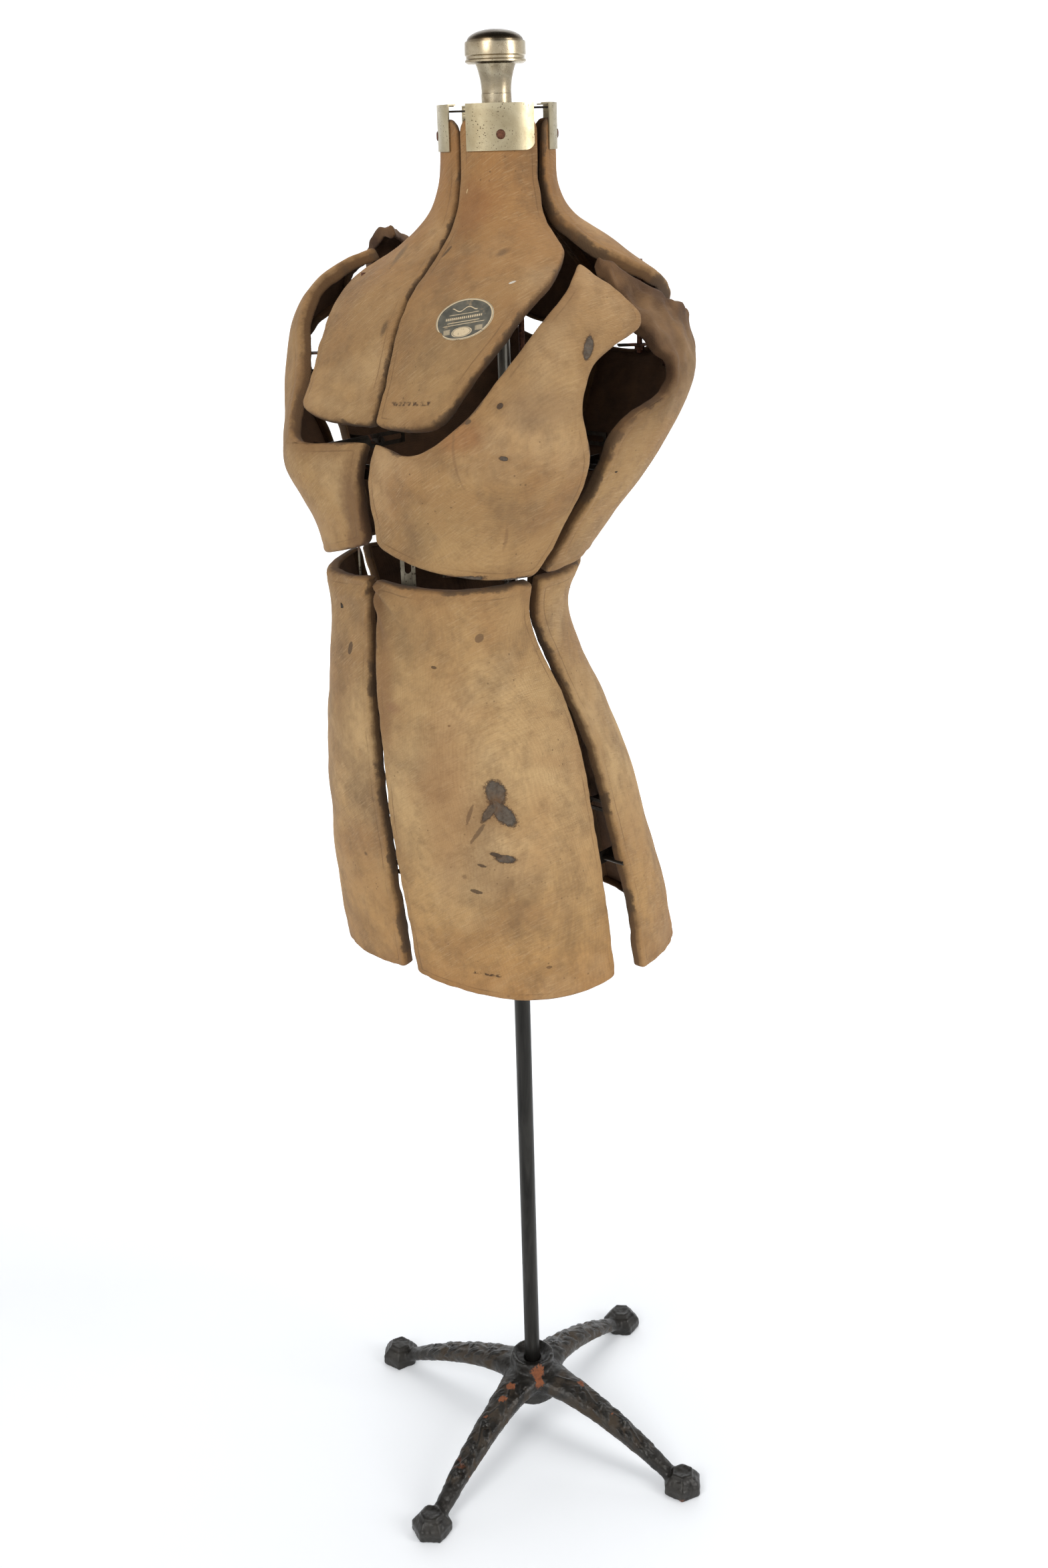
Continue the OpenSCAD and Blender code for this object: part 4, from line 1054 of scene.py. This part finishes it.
def make_stand():
    bm = bmesh.new()
    hub_shell(bm)
    for k in range(4):
        turn = math.radians(STAND_TURN + 90 * k)
        leg_shell(bm, turn)
        foot_shell(bm, turn)
    bmesh.ops.recalc_face_normals(bm, faces=bm.faces)
    me = bpy.data.meshes.new("shells")
    bm.to_mesh(me)
    bm.free()
    ob = add_object("shells", me)
    r = ob.modifiers.new("remesh", "REMESH")
    r.mode, r.voxel_size = "VOXEL", VOXEL
    bpy.context.view_layer.update()
    solid = bpy.data.meshes.new_from_object(ob.evaluated_get(bpy.context.evaluated_depsgraph_get()))
    bpy.data.objects.remove(ob)

    co = np.zeros(len(solid.vertices) * 3)
    solid.vertices.foreach_get("co", co)
    co = co.reshape(-1, 3)
    ed = np.zeros(len(solid.edges) * 2, int)
    solid.edges.foreach_get("vertices", ed)
    ed = ed.reshape(-1, 2)
    degree = np.bincount(ed.ravel(), minlength=len(co))[:, None]

    def smooth(p, rounds, weight):
        for _ in range(rounds):
            total = np.zeros_like(p)
            np.add.at(total, ed[:, 0], p[ed[:, 1]])
            np.add.at(total, ed[:, 1], p[ed[:, 0]])
            p = p + weight * (total / degree - p)
        return p

    flat_r = np.hypot(co[:, 0], co[:, 1])
    # Fillets between the hub and the legs, and the legs and the feet
    joint = np.clip(1 - np.abs(flat_r - 31) / 13, 0, 1) * (co[:, 2] < 90) * (co[:, 2] > 50)
    ankle = np.clip(1 - np.abs(flat_r - (FOOT_R - FOOT_D / 2)) / 9, 0, 1)
    co = smooth(co, 22, 0.5 * np.maximum(joint, 0.8 * ankle)[:, None])
    co = smooth(co, 3, 0.5)

    # Relief along the legs
    solid.vertices.foreach_set("co", co.ravel())
    solid.update()
    normal = np.zeros(len(co) * 3)
    solid.vertices.foreach_get("normal", normal)
    normal = smooth(normal.reshape(-1, 3), 6, 0.6)
    normal /= np.maximum(np.linalg.norm(normal, axis=1, keepdims=True), 1e-9)
    a = np.degrees(np.arctan2(co[:, 1], co[:, 0])) - STAND_TURN
    k = np.round(a / 90)
    off = np.radians(a - 90 * k)
    flat_r = np.hypot(co[:, 0], co[:, 1])
    along, aside = flat_r * np.cos(off), flat_r * np.sin(off)
    half = leg_half(along)
    round_a = np.arctan2(aside / half, (co[:, 2] - arch(along)) / (leg_depth(along) / 2))
    on_leg = (np.clip((along - 33) / 7, 0, 1) * np.clip((FOOT_R - FOOT_D / 2 - 12 - along) / 8, 0, 1)
              * np.clip((2.35 - np.abs(round_a)) / 0.4, 0, 1))
    shift = 37 * ((k % 4) * 0.61 % 1)
    raised = leg_relief((along + shift - 18), round_a * half * 1.1 * np.where(k % 2, 1, -1)) * on_leg
    rough = 0.16 * wavy(co, waves(21, 9)) + 0.09 * wavy(co, waves(23, 4))
    co = co + normal * (raised - 0.5 * on_leg + rough)[:, None]
    co[:, 2] = np.maximum(co[:, 2], 0)
    solid.vertices.foreach_set("co", (co / 1000).ravel())
    add_values(solid, "raised_mm", raised - 0.6 * on_leg + 0.5 * (1 - on_leg))
    solid.name = "stand_casting"
    stand = add_object("stand_casting", solid)
    solid.materials.clear()
    solid.materials.append(cast_iron())
    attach(stand, "stand")
    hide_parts("base_casting")


def cast_iron():
    m = new_material("iron_cast")
    p = object_place()
    raised = node("ShaderNodeAttribute", {"attribute_name": "raised_mm"}).outputs["Fac"]
    clouds = noisy(p, 45, 5, 0.65, 0.5)
    colour = ramp(clouds, (0.30, srgb(24, 23, 21)), (0.70, srgb(58, 55, 50)))
    dust = times(remap(raised, 0.45, -0.35), remap(noisy(p, 60, 4), 0.35, 0.65))
    colour = over(times(dust, 0.6), colour, 84, 70, 54)
    rub = times(remap(raised, 0.9, 1.6), remap(noisy(p, 80, 3), 0.4, 0.6))
    colour = over(times(rub, 0.5), colour, 104, 100, 92)
    mask = remap(noisy(p, 26, 5, 0.65, 0.7), 0.66, 0.74)
    patches = (((0.0205, -0.0150, 0.0905), 0.0085), ((0.0240, -0.0165, 0.0780), 0.0062),
               ((0.0170, -0.0220, 0.0760), 0.0050), ((0.0055, -0.0447, 0.0830), 0.0058),
               ((0.0090, -0.0620, 0.0770), 0.0050), ((0.0060, -0.0900, 0.0720), 0.0040),
               ((0.0620, 0.0150, 0.0790), 0.0050), ((0.110, 0.0140, 0.0640), 0.0045))
    for k, (at, size) in enumerate(patches):
        far = node("ShaderNodeVectorMath", {"operation": "DISTANCE"}, i0=p)
        far.inputs[1].default_value = at
        wild = swing(noisy(p, 170 + 9 * k, 5, 0.7), 2.4)
        v = plus(maths("DIVIDE", far.outputs["Value"], size), wild)
        mask = most(mask, remap(v, 1.0, 0.8))
    rust = ramp(noisy(p, 150, 5, 0.7), (0.3, srgb(96, 54, 32)), (0.7, srgb(164, 96, 56)))
    colour = mixed(times(mask, 0.88), colour, rust)
    base_rough = remap(clouds, 0.3, 0.7, 0.24, 0.48)
    rough = most(base_rough, times(most(mask, dust), 0.82))
    grain = noisy(p, 420, 5, 0.65)
    normal = bumped(grain, 0.0005, 0.5)
    normal = bumped(clouds, 0.0008, 0.35, normal)
    normal = bumped(mask, -0.0004, 0.6, normal)
    surface(Base_Color=colour, Metallic=remap(mask, 0, 1, 0.35, 0.0), Roughness=rough, Normal=normal)
    return m


make_stand()

# -------- oval label, with no lettering

LABEL_AT = (71.0, 1272.0)
LABEL_HALF = (27.0, 19.0)
LABEL_TILT = math.radians(13)


def front_depth(x, z):
    """Where the torso's front surface lies along Y, in mm."""
    n = column(z, 5)
    k = (1 - (np.abs(x) / column(z, 1)) ** n) ** (1 / n)
    return column(z, 4) - column(z, 2) * k - bust(x, z, 1)


def make_label():
    x0, z0 = LABEL_AT
    here = np.array([x0, front_depth(x0, z0), z0])
    dx = np.array([1, (front_depth(x0 + 1, z0) - here[1]), 0])
    dz = np.array([0, (front_depth(x0, z0 + 1) - here[1]), 1])
    e1 = dx / np.linalg.norm(dx)
    n = np.cross(dx, dz)
    n /= np.linalg.norm(n)
    e2 = np.cross(n, e1)
    c, s = math.cos(LABEL_TILT), math.sin(LABEL_TILT)
    long, short = e1 * c + e2 * s, -e1 * s + e2 * c
    rings, count = np.concatenate([np.linspace(0.06, 0.9, 13), [0.94, 0.97, 0.99, 1.0]]), 96
    angle = np.linspace(0, 2 * math.pi, count, endpoint=False)

    def layer(rs, lift):
        R, A = np.meshgrid(rs, angle, indexing="ij")
        # A chip is missing at the lower left
        chip = np.exp(-((A - math.radians(214)) / 0.16) ** 2) * 0.10
        chip += np.exp(-((A - math.radians(262)) / 0.05) ** 2) * 0.03
        u, v = R * (1 - chip) * np.cos(A), R * (1 - chip) * np.sin(A)
        q = here + long * (u * LABEL_HALF[0])[..., None] + short * (v * LABEL_HALF[1])[..., None]
        x, z = q[..., 0], q[..., 2]
        p = np.stack([x, front_depth(x, z), z], -1)
        h = relief(p, np.full(x.shape, FAR_IN), "front_left", "neck")
        curl = 0.25 * np.clip((R - 0.85) / 0.15, 0, 1) * (0.5 + 0.5 * np.sin(A * 3 + 1))
        return p + n * (h + lift + (curl if lift > 0 else 0))[..., None], np.stack([u, v, 0 * u], -1)

    top, top_place = layer(rings, 0.45)
    under, under_place = layer(rings[::-1], -0.35)
    co = np.concatenate([top.reshape(-1, 3), under.reshape(-1, 3)])
    place = np.concatenate([top_place.reshape(-1, 3), under_place.reshape(-1, 3)])
    index = np.arange(len(co)).reshape(-1, count)
    faces = []
    for a, b in zip(index, index[1:]):
        faces += np.stack([b, np.roll(b, -1), np.roll(a, -1), a], -1).tolist()
    faces += [index[0].tolist(), index[-1][::-1].tolist()]
    me = bpy.data.meshes.new("oval_label")
    me.from_pydata((co / 1000).tolist(), [], faces)
    add_values(me, "label_place", place)
    ob = add_object("oval_label", me)
    me.materials.append(label_paper())
    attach(ob, "neck_front_left")


def label_paper():
    m = new_material("label_paper")
    at = node("ShaderNodeAttribute", {"attribute_name": "label_place"}).outputs["Vector"]
    s = node("ShaderNodeSeparateXYZ", Vector=at)
    u, v = s.outputs["X"], s.outputs["Y"]

    def oval(cx, cy, a, b):
        x = maths("DIVIDE", minus(u, cx), a)
        y = maths("DIVIDE", minus(v, cy), b)
        return maths("SQRT", plus(times(x, x), times(y, y)))

    def band(value, centre, half, soft):
        far = maths("ABSOLUTE", minus(value, centre))
        return remap(far, half + soft, half - soft)

    r = oval(0, 0, 1, 1)
    cream = band(r, 0.955, 0.022, 0.008)
    cream = most(cream, remap(r, 0.985, 1.0))
    low = oval(-0.02, -0.62, 0.36, 0.25)
    cream = most(cream, remap(low, 1.02, 0.97))
    gap = band(low, 0.86, 0.035, 0.02)
    cream = times(cream, remap(gap, 0, 1, 1, 0.15))
    # Plain rules and a wavy flourish
    rules = ((0.10, 0.055, 0.62), (-0.10, 0.016, 0.55), (-0.22, 0.014, 0.72), (0.29, 0.012, 0.5))
    for centre, half, reach in rules:
        rule = times(band(v, centre, half, 0.01), band(u, 0.0, reach, 0.02))
        if half > 0.03:
            breaks = node("ShaderNodeTexWave", {"bands_direction": "X"}, Vector=at, Scale=4.4)
            rule = times(rule, remap(breaks.outputs["Fac"], 0.25, 0.4))
        cream = most(cream, rule)
    sway = times(maths("SINE", times(u, 11.0)), 0.09)
    scroll = times(band(minus(v, sway), 0.52, 0.022, 0.012), band(u, 0.02, 0.42, 0.03))
    cream = most(cream, scroll)
    sides = times(band(v, -0.52, 0.12, 0.02), band(maths("ABSOLUTE", u), 0.56, 0.12, 0.02))
    hatch = node("ShaderNodeTexWave", {"bands_direction": "Y"}, Vector=at, Scale=9.0)
    cream = most(cream, times(sides, remap(hatch.outputs["Fac"], 0.4, 0.6)))
    place = object_place()
    wear = noisy(place, 320, 4, 0.65)
    cream = times(cream, remap(wear, 0.28, 0.42, 0.2, 1.0))
    field = ramp(noisy(place, 160, 4), (0.3, srgb(70, 68, 60)), (0.7, srgb(96, 92, 80)))
    colour = mixed(cream, field, srgb(198, 178, 144))
    scuff = remap(noisy(place, 95, 4, 0.7), 0.60, 0.70)
    colour = over(times(scuff, 0.5), colour, 166, 142, 108)
    surface(Base_Color=colour, Roughness=remap(wear, 0.3, 0.7, 0.42, 0.6),
            Normal=bumped(wear, 0.0002, 0.4), Specular_IOR_Level=0.4)
    return m


make_label()

# -------- floor and light

def beside(right, back, up):
    """A place given from the camera's side: metres to the right, away from the camera, and up."""
    return (right * math.cos(TURN) - back * math.sin(TURN),
            right * math.sin(TURN) + back * math.cos(TURN), up)


def make_stage():
    """A sweep: a flat floor that curves up behind the form, as the camera sees it."""
    bm = bmesh.new()
    start, radius, top, half = 4.0, 3.0, 9.0, 9.0
    outline = [(-6.0, 0.0), (0.0, 0.0), (2.5, 0.0), (start, 0.0)]
    outline += [(start + radius * math.sin(a), radius - radius * math.cos(a))
                for a in np.linspace(0.1, math.pi / 2, 14)]
    outline += [(start + radius, 6.0), (start + radius, top)]
    rows = [[bm.verts.new(beside(x, back, up)) for x in (-half, -4, 0, 4, half)] for back, up in outline]
    for a, b in zip(rows, rows[1:]):
        for i in range(len(a) - 1):
            bm.faces.new((a[i], a[i + 1], b[i + 1], b[i]))
    me = bpy.data.meshes.new("floor")
    bm.to_mesh(me)
    bm.free()
    ob = add_object("floor", me)
    m = new_material("studio_floor")
    place = object_place()
    tone = ramp(noisy(place, 1.2, 3), (0.3, (0.80, 0.815, 0.83, 1)), (0.7, (0.84, 0.85, 0.86, 1)))
    surface(Base_Color=tone, Roughness=0.6, Normal=bumped(noisy(place, 60, 4), 0.0003, 0.2),
            Emission_Color=(0.94, 0.97, 1.0, 1), Emission_Strength=0.24)
    me.materials.append(m)


def area_light(name, place, target, size, power):
    data = bpy.data.lights.new(name, "AREA")
    data.shape, data.size, data.size_y = "RECTANGLE", size[0], size[1]
    data.energy = power
    ob = bpy.data.objects.new(name, data)
    bpy.context.scene.collection.objects.link(ob)
    ob.location = place
    ob.rotation_mode = "QUATERNION"
    ob.rotation_quaternion = (Vector(target) - Vector(place)).to_track_quat("-Z", "Y")
    return ob


def make_room():
    """The world: a bright room with a dark ceiling, which the knob and the plates reflect."""
    world = bpy.data.worlds.new("studio")
    world.use_nodes = True
    add_nodes_to(world.node_tree)
    sky = node("ShaderNodeTexCoord").outputs["Generated"]
    up = node("ShaderNodeSeparateXYZ", Vector=sky).outputs["Z"]
    room = ramp(remap(up, -1, 1), (0.0, (0.75, 0.76, 0.78, 1)), (0.48, (1, 1, 1, 1)),
                (0.66, (0.95, 0.96, 0.98, 1)), (0.76, (0.16, 0.16, 0.17, 1)), (1.0, (0.05, 0.05, 0.055, 1)))
    put(TREE.nodes["Background"], "i0", room)
    bpy.context.scene.world = world


make_stage()
make_room()
bpy.context.scene.view_settings.view_transform = "Standard"
area_light("key", beside(-1.5, -2.2, 2.7), (0, 0, 1.0), (1.2, 1.6), 46)
area_light("fill", beside(2.4, -1.2, 2.0), (0, 0, 1.0), (1.0, 1.8), 36)
area_light("top", beside(0.2, 0.5, 3.2), (0, 0, 0.8), (2.0, 2.0), 30).visible_glossy = False
area_light("backdrop", beside(0, 1.6, 3.4), beside(0, 6.5, 1.5), (4.0, 1.5), 260)
